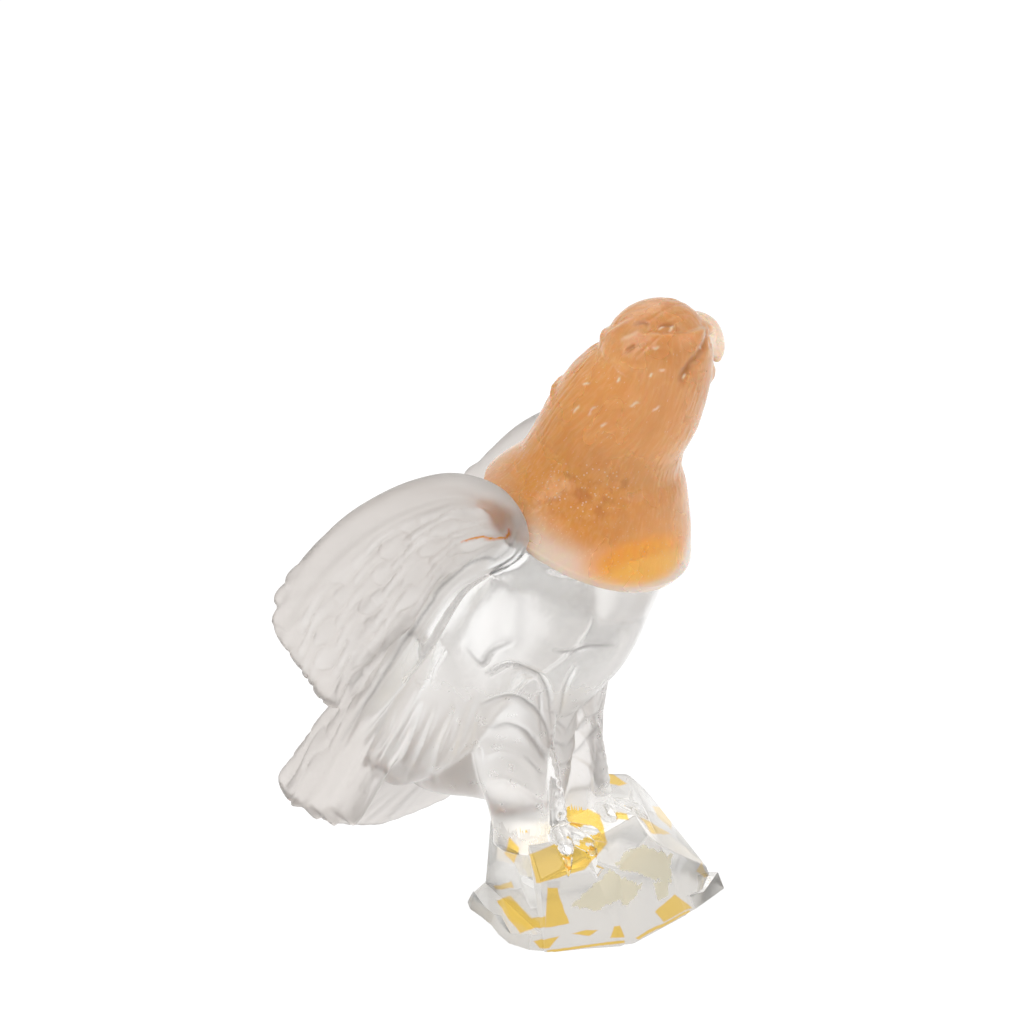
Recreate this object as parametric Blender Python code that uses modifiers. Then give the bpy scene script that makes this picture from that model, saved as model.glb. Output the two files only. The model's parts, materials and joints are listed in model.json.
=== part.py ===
"""A cast crystal eagle on a faceted rock, with a pate-de-verre mantle and head glued on top.

Two solids: crystal_body (torso, wings, tail, legs, feet and rock, cast as one) and amber_head
(head, neck and mantle). Metres, +Z up, the eagle faces -Y, the origin is on the underside of the rock.
"""

import math
from collections import namedtuple

import bmesh
import bpy
from mathutils import Matrix, Vector

# Driving sizes.
ROCK_HEIGHT = 0.056
ROCK_UPPER_TILT = math.radians(6.0)
FACET_EDGE = 0.0009
FOOTING_HEIGHT = 0.009
FIGURE_HEIGHT = 0.290
FEET_LEVEL = 0.053
SEAM_TILT = math.radians(28.0)
SEAM_GAP = 0.0003
HEAD_TURN = math.radians(85.0)
TAIL_ROLL = math.radians(9.0)
TAIL_TURN = math.radians(6.0)

# The figure is free form, so its places are hundredths of its own height.
SHARE = FIGURE_HEIGHT / 100.0

# Fineness of the faceted solids.
BODY_VOXEL = 0.0016
HEAD_VOXEL = 0.0012
BODY_TRIANGLE_SHARE = 0.038
HEAD_TRIANGLE_SHARE = 0.030

CRYSTAL_COLOUR = (0.90, 0.90, 0.89, 1.0)
AMBER_COLOUR = (0.80, 0.42, 0.16, 1.0)

Station = namedtuple("Station", "forward up half_width half_depth")
Facet = namedtuple("Facet", "heading reach height lean")

LEFT = Vector((1, 0, 0))
FORWARD = Vector((0, -1, 0))
UP = Vector((0, 0, 1))


def at(left, forward, up):
    """A place on the figure, in hundredths of its height above its feet, as a point in metres."""
    return Vector((left * SHARE, -forward * SHARE, FEET_LEVEL + up * SHARE))


# Torso: from the rump up the spine to the seam, and just past it, where the mantle's seat is cut.
TORSO = [
    Station(-29.0, 8.5, 9.0, 4.6),
    Station(-26.0, 11.5, 11.0, 6.6),
    Station(-20.5, 16.5, 12.6, 9.0),
    Station(-13.0, 23.5, 14.0, 11.6),
    Station(-6.5, 31.0, 15.0, 13.4),
    Station(-1.4, 38.5, 16.0, 14.9),
    Station(1.6, 46.5, 16.6, 15.8),
    Station(4.2, 54.0, 16.8, 16.4),
    Station(5.6, 58.0, 16.6, 16.4),
]
# Mantle and neck: from the seam up to the crown. The half sizes are measured across the neck's own lean.
SEAM = Station(5.1, 57.2, 19.8, 19.8)
NECK = [
    Station(5.1, 57.2, 18.9, 18.9),
    Station(5.8, 58.7, 19.9, 19.7),
    Station(7.2, 62.4, 18.4, 17.9),
    Station(8.7, 66.4, 16.5, 16.0),
    Station(10.3, 71.5, 14.2, 13.9),
    Station(12.5, 77.0, 13.2, 13.0),
    Station(15.5, 82.2, 12.5, 12.3),
    Station(18.2, 87.2, 11.3, 11.0),
    Station(19.9, 91.6, 9.8, 9.6),
    Station(20.6, 95.6, 7.8, 7.8),
]
SKULL_CENTRE = (0.0, 19.6, 91.0)


def new_object(name, mesh_builder, collection):
    """Makes an object from the shapes in a bmesh, with their faces turned outwards."""
    bmesh.ops.recalc_face_normals(mesh_builder, faces=mesh_builder.faces)
    mesh = bpy.data.meshes.new(name)
    mesh_builder.to_mesh(mesh)
    mesh_builder.free()
    obj = bpy.data.objects.new(name, mesh)
    collection.objects.link(obj)
    return obj


def loft(builder, rings, sides=20):
    """Skins a closed shape over elliptic rings, each a centre, a half-width and a half-depth vector."""
    loops = []
    for index, (centre, across, deep) in enumerate(rings):
        place = Matrix.Identity(4)
        for column, axis in enumerate((across, deep, across.cross(deep).normalized(), centre)):
            for row in range(3):
                place[row][column] = axis[row]
        is_end = index in (0, len(rings) - 1)
        ring = bmesh.ops.create_circle(builder, cap_ends=is_end, radius=1, segments=sides, matrix=place)
        vertices = set(ring["verts"])
        loops.append([edge for edge in builder.edges if set(edge.verts) <= vertices])
    for lower, upper in zip(loops, loops[1:]):
        bmesh.ops.bridge_loops(builder, edges=lower + upper)


def sagittal_rings(stations, left=0.0):
    """Rings along a spine in a plane at the given distance left of the middle, square to the spine."""
    centres = [at(left, s.forward, s.up) for s in stations]
    rings = []
    for index, station in enumerate(stations):
        before = centres[max(index - 1, 0)]
        after = centres[min(index + 1, len(centres) - 1)]
        deep = LEFT.cross(after - before).normalized()
        rings.append((centres[index], LEFT * station.half_width * SHARE, deep * station.half_depth * SHARE))
    return rings


def blob(builder, centre, half_sizes, turn=None, segments=16):
    """Adds an ellipsoid with its own turn."""
    turned = turn.to_4x4() if turn else Matrix.Identity(4)
    place = Matrix.Translation(centre) @ turned @ Matrix.Diagonal((*half_sizes, 1))
    bmesh.ops.create_uvsphere(builder, u_segments=segments, v_segments=segments // 2, radius=1, matrix=place)


def blade(builder, root, tip, width, thickness, face, tip_width=0.9):
    """Adds one long feather: a flat bar with a lens-shaped section and a blunt tip that faces along face."""
    spine = tip - root
    across = spine.cross(face).normalized()
    flat = across.cross(spine).normalized()
    near_tip = (0.9, tip_width + 0.05, 0.85)
    sections = [(0, 0.55, 0.6), (0.15, 0.85, 1), (0.5, 1, 1), near_tip, (1, tip_width, 0.55)]
    rings = []
    for share, wide, thick in sections:
        rings.append((root + spine * share, across * width * wide / 2, flat * thickness * thick / 2))
    loft(builder, rings, sides=12)


# Wings. A wing lies in a sheet that runs back from the wrist and leans outwards: a place on it is
# (distance back, height above the feet), in hundredths of the figure's height.
WRIST_FORWARD = 6.5
WING_SPREAD = 0.18
WING_LEAN = 0.12
WING_ROOT_OFFSET = 15.6
WING_MIDDLE_UP = 26.5
WING_BELLY = 1.4
WING_THICKNESS = 5.0
LEFT_WING_LIFT = 0.10
# The rim and the lower edge of the fan of coverts, from the wrist to the last secondary.
WING_FAN = [
    ((4.4, 65.0), (1.6, 60.2)),
    ((7.0, 68.8), (2.6, 58.0)),
    ((12.0, 69.4), (6.0, 56.2)),
    ((18.5, 67.6), (9.8, 53.9)),
    ((25.2, 64.4), (13.4, 51.0)),
    ((32.0, 60.4), (17.2, 47.4)),
    ((38.4, 55.0), (20.6, 42.8)),
    ((44.0, 48.8), (23.8, 37.6)),
    ((48.2, 42.0), (27.4, 33.8)),
    ((50.2, 35.4), (30.9, 30.4)),
    ((46.4, 29.6), (34.2, 26.6)),
    ((42.0, 23.2), (38.4, 21.6)),
]
# Raised folds on the outer face of the wing: places, with the fold's half-width and half-thickness.
WING_RIM = [
    ((1.4, 57.6), 1.8, 2.4),
    ((2.0, 60.8), 2.8, 2.9),
    ((4.6, 64.2), 3.8, 3.1),
    ((9.4, 65.8), 4.4, 3.1),
    ((16.4, 64.8), 4.6, 2.9),
    ((24.2, 61.6), 4.6, 2.6),
    ((31.4, 57.6), 4.4, 2.3),
    ((38.0, 52.2), 4.0, 2.0),
    ((43.6, 45.8), 3.6, 1.7),
    ((47.4, 39.6), 3.0, 1.4),
]
WING_TONGUE = [
    ((0.0, 60.4), 1.8, 2.0),
    ((2.2, 57.2), 2.4, 2.4),
    ((6.9, 54.2), 2.9, 2.5),
    ((12.0, 50.6), 3.3, 2.4),
    ((16.0, 45.6), 3.8, 2.3),
    ((20.0, 39.6), 4.2, 2.2),
    ((25.4, 32.6), 4.2, 2.1),
    ((31.4, 24.8), 3.8, 2.0),
    ((37.0, 17.2), 3.0, 1.7),
    ((40.0, 12.8), 2.0, 1.3),
]
SECONDARIES = [
    ((8.0, 62.6), (47.6, 44.4)),
    ((8.4, 60.6), (50.4, 40.4)),
    ((9.0, 58.8), (51.4, 36.2)),
    ((11.0, 56.6), (50.0, 32.2)),
    ((14.0, 53.4), (46.8, 28.6)),
    ((18.0, 49.0), (43.4, 24.0)),
]
SECONDARY_WIDTH = 5.8
SECONDARY_THICKNESS = 3.0
SECONDARY_OUTWARD = 1.9
PRIMARIES = [
    ((24.0, 38.0), (51.6, 3.6)),
    ((22.5, 38.0), (48.2, 1.2)),
    ((20.5, 38.0), (44.8, 0.2)),
    ((19.0, 38.0), (41.0, 1.0)),
]
PRIMARY_WIDTH = 7.4
PRIMARY_THICKNESS = 3.4
PRIMARY_STEP = 1.0


def on_wing(side, back, up, outward=0.0):
    """A point on the sheet of the wing on the given side, +1 left and -1 right, moved outwards in shares."""
    lateral = WING_ROOT_OFFSET + WING_SPREAD * back + WING_LEAN * (up - WING_MIDDLE_UP) + outward
    lift = LEFT_WING_LIFT * back if side > 0 else 0.0
    return at(side * lateral, WRIST_FORWARD - back, up + lift)


def wing_belly(back, up):
    """How far the cupped wing swells outwards at a place on its sheet."""
    return WING_BELLY * max(0.0, 1 - ((back - 24.0) / 30.0) ** 2 - ((up - 46.0) / 30.0) ** 2)


def add_fold(builder, side, fold, outward):
    """Adds a raised fold that follows places on the wing's outer face."""
    centres = [on_wing(side, *place, outward=wing_belly(*place) + 0.6) for place, _, _ in fold]
    rings = []
    for index, (_, half_width, half_thickness) in enumerate(fold):
        along = centres[min(index + 1, len(fold) - 1)] - centres[max(index - 1, 0)]
        across = along.cross(outward).normalized()
        rings.append((centres[index], across * half_width * SHARE, outward * half_thickness * SHARE))
    loft(builder, rings, sides=14)


def add_wing(builder, side):
    """Adds one raised wing: the cupped fan of coverts, its raised folds and the long flight feathers."""
    outward = Vector((side, 0.25, 0.0)).normalized()
    rings = []
    for index, (rim, lower) in enumerate(WING_FAN):
        share = index / (len(WING_FAN) - 1)
        high, low = on_wing(side, *rim), on_wing(side, *lower)
        belly = outward * wing_belly((rim[0] + lower[0]) / 2, (rim[1] + lower[1]) / 2) * SHARE
        thickness = WING_THICKNESS * (1.2 - 0.5 * share) * SHARE
        rings.append(((high + low) / 2 + belly, (high - low) / 2, outward * thickness / 2))
    loft(builder, rings, sides=24)
    add_fold(builder, side, WING_RIM, outward)
    add_fold(builder, side, WING_TONGUE, outward)
    for index, (root, tip) in enumerate(SECONDARIES):
        lift = SECONDARY_OUTWARD - 0.3 * index
        blade(
            builder,
            on_wing(side, *root, outward=lift),
            on_wing(side, *tip, outward=lift * 0.5),
            SECONDARY_WIDTH * SHARE,
            SECONDARY_THICKNESS * SHARE,
            outward,
            tip_width=0.6,
        )
    for index, (root, tip) in enumerate(PRIMARIES):
        lift = -PRIMARY_STEP * index
        blade(
            builder,
            on_wing(side, *root, outward=lift - 1.0),
            on_wing(side, *tip, outward=lift),
            PRIMARY_WIDTH * SHARE,
            PRIMARY_THICKNESS * SHARE,
            outward,
            tip_width=0.95,
        )
    add_flank(builder, side)


# Flank: the swell that joins the wing to the body, from the shoulder to the side of the rump. Each place
# has its own distance from the middle, then its half sizes across and along the body's depth.
FLANK = [
    ((13.4, 5.0, 59.0), 4.2, 4.4),
    ((14.2, 4.2, 54.8), 6.0, 7.0),
    ((13.6, -0.6, 46.2), 7.0, 9.2),
    ((13.2, -6.2, 37.8), 7.2, 10.6),
    ((13.0, -12.8, 29.0), 7.2, 11.0),
    ((12.8, -19.2, 20.6), 6.8, 10.0),
    ((12.2, -25.2, 13.2), 5.8, 7.6),
    ((11.0, -29.8, 7.6), 4.0, 4.4),
]


def add_flank(builder, side):
    """Adds the swell between one wing and the body."""
    centres = [at(side * left, forward, up) for (left, forward, up), _, _ in FLANK]
    rings = []
    for index, (_, half_width, half_depth) in enumerate(FLANK):
        along = centres[min(index + 1, len(FLANK) - 1)] - centres[max(index - 1, 0)]
        across = along.cross(LEFT.cross(along)).normalized()
        deep = across.cross(along).normalized()
        rings.append((centres[index], across * half_width * SHARE, deep * half_depth * SHARE))
    loft(builder, rings, sides=18)


# Tail: a rolled fan of flat feathers from the rump, and the web of glass that joins it to the legs.
TAIL_FEATHERS = 9
TAIL_ROOT = (0.0, -20.0, 14.0)
TAIL_LENGTH = 33.5
TAIL_DROP = math.radians(45.5)
TAIL_FAN = math.radians(24.0)
TAIL_WIDTH = 6.2
TAIL_THICKNESS = 2.7
TAIL_STEP = 0.9
BELLY_WEB = [
    Station(1.6, 21.0, 3.0, 9.0),
    Station(-1.0, 19.0, 6.0, 18.0),
    Station(-5.0, 17.0, 9.0, 18.0),
    Station(-10.0, 16.0, 11.5, 14.5),
    Station(-16.0, 12.5, 13.0, 10.5),
    Station(-22.0, 8.5, 13.0, 8.5),
    Station(-27.0, 4.6, 12.0, 5.2),
    Station(-31.5, 1.2, 9.0, 2.2),
]


def add_tail(builder):
    """Adds the fanned tail feathers and the web under them."""
    root = at(*TAIL_ROOT)
    turned = Matrix.Rotation(-TAIL_TURN, 3, UP)
    down = turned @ (-FORWARD * math.cos(TAIL_DROP) - UP * math.sin(TAIL_DROP))
    side_axis = turned @ LEFT
    roll = Matrix.Rotation(TAIL_ROLL, 3, down)
    face = roll @ down.cross(side_axis)
    for index in range(TAIL_FEATHERS):
        turn = TAIL_FAN * (2 * index / (TAIL_FEATHERS - 1) - 1)
        spine = down * math.cos(turn) + side_axis * math.sin(turn)
        drop = face * TAIL_STEP * (2 - abs(index - TAIL_FEATHERS // 2)) * SHARE / 2
        start = root + roll @ (side_axis * math.sin(turn) * 8.0 * SHARE)
        tip = root + roll @ (spine * TAIL_LENGTH * SHARE) + drop
        blade(builder, start, tip, TAIL_WIDTH * SHARE, TAIL_THICKNESS * SHARE, face)
    rings = []
    for station in BELLY_WEB:
        centre = at(0, station.forward, station.up)
        rings.append((centre, LEFT * station.half_width * SHARE, UP * station.half_depth * SHARE))
    loft(builder, rings, sides=20)


# Legs: feathered thighs down to the rock, bare shanks in front of them, and three toes and a hind toe.
LEG_LEFT = 7.8
THIGH = [
    Station(-2.5, 41.0, 8.4, 10.5),
    Station(-4.2, 33.5, 8.4, 10.2),
    Station(-4.9, 25.3, 7.5, 9.0),
    Station(-4.9, 17.6, 6.5, 8.1),
    Station(-4.0, 11.0, 5.9, 7.4),
    Station(-2.8, 5.5, 5.4, 6.6),
    Station(-2.0, 1.0, 5.2, 6.3),
    Station(-2.0, -2.5, 5.2, 6.3),
]
SHANK = [
    Station(0.6, 21.0, 1.6, 1.6),
    Station(2.6, 15.0, 1.5, 1.5),
    Station(3.9, 9.0, 1.4, 1.5),
    Station(4.6, 3.0, 1.6, 1.8),
    Station(4.8, -1.0, 2.2, 2.4),
]
TOE_TURNS = [math.radians(a) for a in (-42.0, 0.0, 42.0, 180.0)]
# One toe and its talon, outwards from the shank: distance out, height above the rock, half-thickness.
TOE = [
    (0.0, 1.2, 1.9),
    (2.2, 1.3, 1.8),
    (4.4, 1.0, 1.6),
    (6.0, 0.6, 1.6),
    (7.2, -0.4, 1.1),
    (7.9, -2.2, 0.7),
    (7.9, -4.4, 0.25),
]


def add_leg(builder, side):
    """Adds one feathered leg with its shank and its gripping foot."""
    loft(builder, sagittal_rings(THIGH, side * LEG_LEFT))
    loft(builder, sagittal_rings(SHANK, side * (LEG_LEFT - 0.6)), sides=12)
    heel = (side * (LEG_LEFT - 0.6), 4.6)
    for turn in TOE_TURNS:
        centres = []
        for out, up, _ in TOE:
            left = heel[0] + side * out * math.sin(turn)
            centres.append(at(left, heel[1] + out * math.cos(turn), up))
        rings = []
        for index, (_, _, half) in enumerate(TOE):
            along = centres[min(index + 1, len(TOE) - 1)] - centres[max(index - 1, 0)]
            across = along.cross(UP if abs(along.normalized().z) < 0.99 else FORWARD).normalized()
            deep = along.cross(across).normalized()
            rings.append((centres[index], across * half * SHARE, deep * half * SHARE))
        loft(builder, rings, sides=10)


# The rock: a block cut by flat facets. Heading is clockwise from straight ahead, as seen from above;
# reach is how far the facet stands from the middle of the underside at the given height; lean is how
# far it tips back from upright.
ROCK_BLOCK = 0.30
FACETS = [
    Facet(2, 0.054, 0.0, 12),
    Facet(41, 0.047, 0.0, 7),
    Facet(123, 0.026, 0.0, -1),
    Facet(165, 0.047, 0.0, 8),
    Facet(205, 0.056, 0.0, 16),
    Facet(243, 0.070, 0.0, 16),
    Facet(-80, 0.085, 0.008, 20),
    Facet(-12, 0.062, 0.0, 15),
    Facet(16, 0.041, 0.046, 48),
    Facet(60, 0.040, 0.046, 42),
    Facet(-32, 0.058, 0.036, 40),
    Facet(-68, 0.073, 0.046, 46),
    Facet(-118, 0.070, 0.046, 42),
    Facet(190, 0.040, 0.046, 44),
]
# The ragged footing round the rock, as (heading, reach) in degrees and metres.
FOOTING = [
    (-6, 0.053), (18, 0.052), (40, 0.0465), (58, 0.049), (74, 0.049), (90, 0.046),
    (106, 0.041), (124, 0.038), (142, 0.041), (156, 0.048), (166, 0.052), (180, 0.050),
    (196, 0.058), (212, 0.064), (228, 0.075), (244, 0.079), (258, 0.088), (270, 0.086),
    (282, 0.092), (292, 0.089), (302, 0.097), (309, 0.084), (318, 0.073), (330, 0.062),
]


def add_rock(builder):
    """Cuts the rock out of a block, one plane for each facet, with a table on top for the feet."""
    size = Matrix.Diagonal((ROCK_BLOCK, ROCK_BLOCK, ROCK_BLOCK, 1))
    bmesh.ops.create_cube(builder, size=1, matrix=Matrix.Translation((0, 0, ROCK_BLOCK / 2)) @ size)
    table = Matrix.Rotation(ROCK_UPPER_TILT, 3, FORWARD) @ UP
    planes = [(Vector((0, 0, ROCK_HEIGHT)), table)]
    for facet in FACETS:
        heading, lean = math.radians(facet.heading), math.radians(facet.lean)
        outwards = FORWARD * math.cos(heading) - LEFT * math.sin(heading)
        point = outwards * facet.reach + UP * facet.height
        planes.append((point, outwards * math.cos(lean) + UP * math.sin(lean)))
    for point, normal in planes:
        geometry = builder.verts[:] + builder.edges[:] + builder.faces[:]
        cut = bmesh.ops.bisect_plane(
            builder, geom=geometry, dist=1e-7, plane_co=point, plane_no=normal, clear_outer=True
        )
        rim = [item for item in cut["geom_cut"] if isinstance(item, bmesh.types.BMEdge)]
        if rim:
            bmesh.ops.edgenet_fill(builder, edges=rim)
    edges = [edge for edge in builder.edges if max(v.co.z for v in edge.verts) > 0.001]
    bmesh.ops.bevel(
        builder,
        geom=edges,
        offset=FACET_EDGE,
        offset_type="OFFSET",
        segments=1,
        profile=0.5,
        affect="EDGES",
        material=-1,
    )


def add_footing(builder):
    """Adds the low ragged ledge round the foot of the rock."""
    ring = bmesh.ops.create_circle(builder, cap_ends=True, radius=1, segments=len(FOOTING))["verts"]
    for vertex, (heading, reach) in zip(ring, FOOTING):
        angle = math.radians(heading)
        vertex.co = (FORWARD * math.cos(angle) - LEFT * math.sin(angle)) * reach
    face = list({face for vertex in ring for face in vertex.link_faces})
    top = bmesh.ops.extrude_face_region(builder, geom=face)["geom"]
    for index, vertex in enumerate(item for item in top if isinstance(item, bmesh.types.BMVert)):
        vertex.co.z = FOOTING_HEIGHT * (0.8 + 0.35 * math.sin(2.3 * index))
        vertex.co.xy = vertex.co.xy * 0.96


def seam_axes():
    """The middle of the seam, its normal, and its two axes."""
    normal = FORWARD * math.sin(SEAM_TILT) + UP * math.cos(SEAM_TILT)
    return at(0, SEAM.forward, SEAM.up), normal, LEFT, normal.cross(LEFT)


def neck_rings(grow=0.0):
    """The rings of the mantle and neck, square to the seam below and to the neck above."""
    middle, normal, _, _ = seam_axes()
    centres = [at(0, s.forward, s.up) for s in NECK]
    rings = []
    for index, station in enumerate(NECK):
        before = centres[max(index - 1, 0)]
        after = centres[min(index + 1, len(centres) - 1)]
        lean = (after - before).normalized()
        share = min(index / 4.0, 1.0)
        axis = (normal * (1 - share) + lean * share).normalized()
        across = LEFT * (station.half_width * SHARE + grow)
        deep = LEFT.cross(axis).normalized() * (station.half_depth * SHARE + grow)
        rings.append((centres[index] - normal * grow, across, deep))
    return rings


# Head, in its own axes: ahead along the beak, beside to its left, and up. Ellipsoids are
# (place, half sizes, pitch in degrees).
HEAD_LUMPS = [
    ((0.5, 0.0, 0.0), (10.0, 8.6, 8.6), 0),
    ((-1.5, 0.0, -1.5), (9.0, 9.2, 8.6), 0),
    ((5.5, 0.0, -1.5), (7.0, 6.4, 6.6), 12),
    ((4.5, 4.6, 3.6), (6.0, 2.0, 1.5), 14),
    ((4.5, -4.6, 3.6), (6.0, 2.0, 1.5), 14),
    ((3.0, 5.4, -3.2), (6.4, 2.6, 3.4), 20),
    ((3.0, -5.4, -3.2), (6.4, 2.6, 3.4), 20),
]
# The beak: distance ahead, height, half-width, half-height.
UPPER_BEAK = [
    (7.0, 0.2, 4.6, 4.6),
    (10.5, 0.5, 3.9, 4.2),
    (13.6, -0.2, 2.9, 3.5),
    (16.0, -1.9, 2.0, 2.7),
    (17.5, -4.4, 1.2, 1.8),
    (17.7, -6.9, 0.4, 0.7),
]
LOWER_BEAK = [
    (6.5, -3.6, 3.6, 2.2),
    (10.5, -4.6, 2.6, 1.6),
    (13.6, -5.2, 1.5, 1.0),
    (15.2, -5.6, 0.5, 0.4),
]


def add_head(builder):
    """Adds the skull, brows and beak, turned to the eagle's left."""
    turn = Matrix.Rotation(HEAD_TURN, 3, UP)
    ahead, beside = turn @ FORWARD, turn @ LEFT
    middle = at(*SKULL_CENTRE)
    frame = Matrix((ahead, beside, UP)).transposed()
    for place, half_sizes, pitch in HEAD_LUMPS:
        tip_down = Matrix.Rotation(math.radians(pitch), 3, "Y")
        centre = middle + frame @ Vector(place) * SHARE
        blob(builder, centre, [n * SHARE for n in half_sizes], frame @ tip_down)
    for profile in (UPPER_BEAK, LOWER_BEAK):
        centres = [middle + frame @ Vector((out, 0, up)) * SHARE for out, up, _, _ in profile]
        rings = []
        for index, (_, _, half_width, half_height) in enumerate(profile):
            along = centres[min(index + 1, len(profile) - 1)] - centres[max(index - 1, 0)]
            deep = along.cross(beside).normalized()
            rings.append((centres[index], beside * half_width * SHARE, deep * half_height * SHARE))
        loft(builder, rings, sides=14)


def remeshed(obj, voxel, smoothing, share):
    """Adds the modifiers that fuse overlapping shapes into one skin, soften it and thin its triangles."""
    fuse = obj.modifiers.new("fuse", "REMESH")
    fuse.mode = "VOXEL"
    fuse.voxel_size = voxel
    soften = obj.modifiers.new("soften", "SMOOTH")
    soften.factor = 0.5
    soften.iterations = smoothing
    thin = obj.modifiers.new("thin", "DECIMATE")
    thin.ratio = share


def boolean(obj, other, operation):
    """Adds a Boolean modifier."""
    cut = obj.modifiers.new(operation.lower(), "BOOLEAN")
    cut.operation = operation
    cut.object = other


def as_cutter(obj):
    """Hides a helper shape from renders."""
    obj.hide_render = True
    obj.display_type = "WIRE"
    return obj


def shade(obj, name, colour, roughness):
    """Gives an object its material and smooth shading."""
    material = bpy.data.materials.new(name)
    material.use_nodes = True
    shader = material.node_tree.nodes["Principled BSDF"]
    shader.inputs["Base Color"].default_value = colour
    shader.inputs["Roughness"].default_value = roughness
    shader.inputs["Metallic"].default_value = 0.0
    shader.inputs["Transmission Weight"].default_value = 1.0
    obj.data.materials.append(material)
    obj.data.shade_smooth()


def build():
    """Builds the eagle."""
    for old in list(bpy.data.objects):
        bpy.data.objects.remove(old)
    parts = bpy.data.collections.new("crystal_eagle")
    cutters = bpy.data.collections.new("cutters")
    for collection in (parts, cutters):
        bpy.context.scene.collection.children.link(collection)

    figure = bmesh.new()
    loft(figure, sagittal_rings(TORSO), sides=28)
    for side in (-1, 1):
        add_wing(figure, side)
        add_leg(figure, side)
    add_tail(figure)
    body = new_object("crystal_body", figure, parts)
    remeshed(body, BODY_VOXEL, 8, BODY_TRIANGLE_SHARE)
    shade(body, "crystal", CRYSTAL_COLOUR, 0.15)

    ledge = bmesh.new()
    add_footing(ledge)
    footing = as_cutter(new_object("footing_slab", ledge, cutters))
    boolean(body, footing, "UNION")
    stone = bmesh.new()
    add_rock(stone)
    rock = as_cutter(new_object("rock_block", stone, cutters))
    boolean(body, rock, "UNION")

    pocket_shape = bmesh.new()
    loft(pocket_shape, neck_rings(SEAM_GAP), sides=48)
    pocket = as_cutter(new_object("mantle_pocket", pocket_shape, cutters))
    boolean(body, pocket, "DIFFERENCE")

    mantle = bmesh.new()
    loft(mantle, neck_rings(), sides=40)
    add_head(mantle)
    head = new_object("amber_head", mantle, parts)
    remeshed(head, HEAD_VOXEL, 12, HEAD_TRIANGLE_SHARE)
    shade(head, "amber_pate_de_verre", AMBER_COLOUR, 0.3)

    middle, normal, across, deep = seam_axes()
    seat_shape = bmesh.new()
    size = 0.3
    place = Matrix((across, deep, normal)).transposed().to_4x4()
    place.translation = middle - normal * size / 2
    bmesh.ops.create_cube(seat_shape, size=size, matrix=place)
    seat = as_cutter(new_object("below_seam", seat_shape, cutters))
    boolean(head, seat, "DIFFERENCE")


build()
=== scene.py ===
"""A cast crystal eagle on a faceted rock, with an amber pate-de-verre mantle and head.

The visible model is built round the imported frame. The figure is free form, so its places are in
hundredths of its own height above its feet, called shares: (left, forward, up). Other lengths are in
metres, unless their docstring gives another unit.
"""

import json
import logging
import math
from dataclasses import dataclass
from enum import Enum

import bmesh
import bpy
import numpy as np
from mathutils import Matrix, Vector

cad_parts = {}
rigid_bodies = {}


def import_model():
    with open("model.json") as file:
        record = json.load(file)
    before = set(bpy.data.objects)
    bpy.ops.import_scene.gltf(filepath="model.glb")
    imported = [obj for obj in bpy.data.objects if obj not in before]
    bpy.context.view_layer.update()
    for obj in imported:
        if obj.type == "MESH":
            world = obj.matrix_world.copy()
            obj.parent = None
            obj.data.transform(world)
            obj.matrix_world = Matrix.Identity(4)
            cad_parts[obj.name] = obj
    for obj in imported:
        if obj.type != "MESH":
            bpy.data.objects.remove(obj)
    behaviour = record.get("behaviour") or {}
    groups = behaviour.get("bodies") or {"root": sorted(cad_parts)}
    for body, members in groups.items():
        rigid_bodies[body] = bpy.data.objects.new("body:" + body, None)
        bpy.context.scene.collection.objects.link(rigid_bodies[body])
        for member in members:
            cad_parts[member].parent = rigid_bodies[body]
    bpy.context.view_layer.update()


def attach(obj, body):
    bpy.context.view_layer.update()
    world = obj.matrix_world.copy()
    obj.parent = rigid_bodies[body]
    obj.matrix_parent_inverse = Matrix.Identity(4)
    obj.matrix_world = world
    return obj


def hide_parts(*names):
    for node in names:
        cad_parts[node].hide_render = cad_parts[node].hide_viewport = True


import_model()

log = logging.getLogger("eagle")

LEFT = Vector((1.0, 0.0, 0.0))
FORWARD = Vector((0.0, -1.0, 0.0))
UP = Vector((0.0, 0.0, 1.0))

FIGURE_HEIGHT = 0.290
FEET_LEVEL = 0.053
SHARE = FIGURE_HEIGHT / 100.0
PATCH_EDGE = 0.0003

Rows = tuple[tuple[float, ...], ...]
Curve = tuple[tuple[float, float], ...]
Line = tuple[tuple[float, float, float], ...]
Colour = tuple[float, float, float, float]
Ring = tuple[Vector, Vector, Vector]


class Side(Enum):
    """Which of the eagle's two sides a wing or a leg is on, as the sign of its place."""

    RIGHT = -1
    LEFT = 1


class Cut(Enum):
    """What a Boolean does to a solid."""

    JOIN = "UNION"
    TAKE_AWAY = "DIFFERENCE"


class Per(Enum):
    """What each number of an attribute belongs to."""

    VERTEX = "POINT"
    FACE = "FACE"


@dataclass(frozen=True)
class Fold:
    """One section of a fold on the wing: its place on the sheet and its half sizes."""

    back: float
    up: float
    half_width: float
    half_thickness: float


def at(left: float, forward: float, up: float) -> Vector:
    """Turns a place on the figure into metres.

    Args:
        left: distance left of the middle, in shares.
        forward: distance ahead of the middle of the underside, in shares.
        up: height above the feet, in shares.

    Returns:
        The point in metres.
    """
    return Vector((left * SHARE, -forward * SHARE, FEET_LEVEL + up * SHARE))


def in_shares(points: np.ndarray) -> tuple[np.ndarray, np.ndarray, np.ndarray]:
    """Turns points in metres into (left, forward, up) in shares."""
    return points[:, 0] / SHARE, -points[:, 1] / SHARE, (points[:, 2] - FEET_LEVEL) / SHARE


def smooth_between(low: float, high: float, values: np.ndarray) -> np.ndarray:
    """A mask that rises smoothly from 0 at low to 1 at high."""
    share = np.clip((values - low) / (high - low), 0.0, 1.0)
    return share * share * (3.0 - 2.0 * share)


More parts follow.
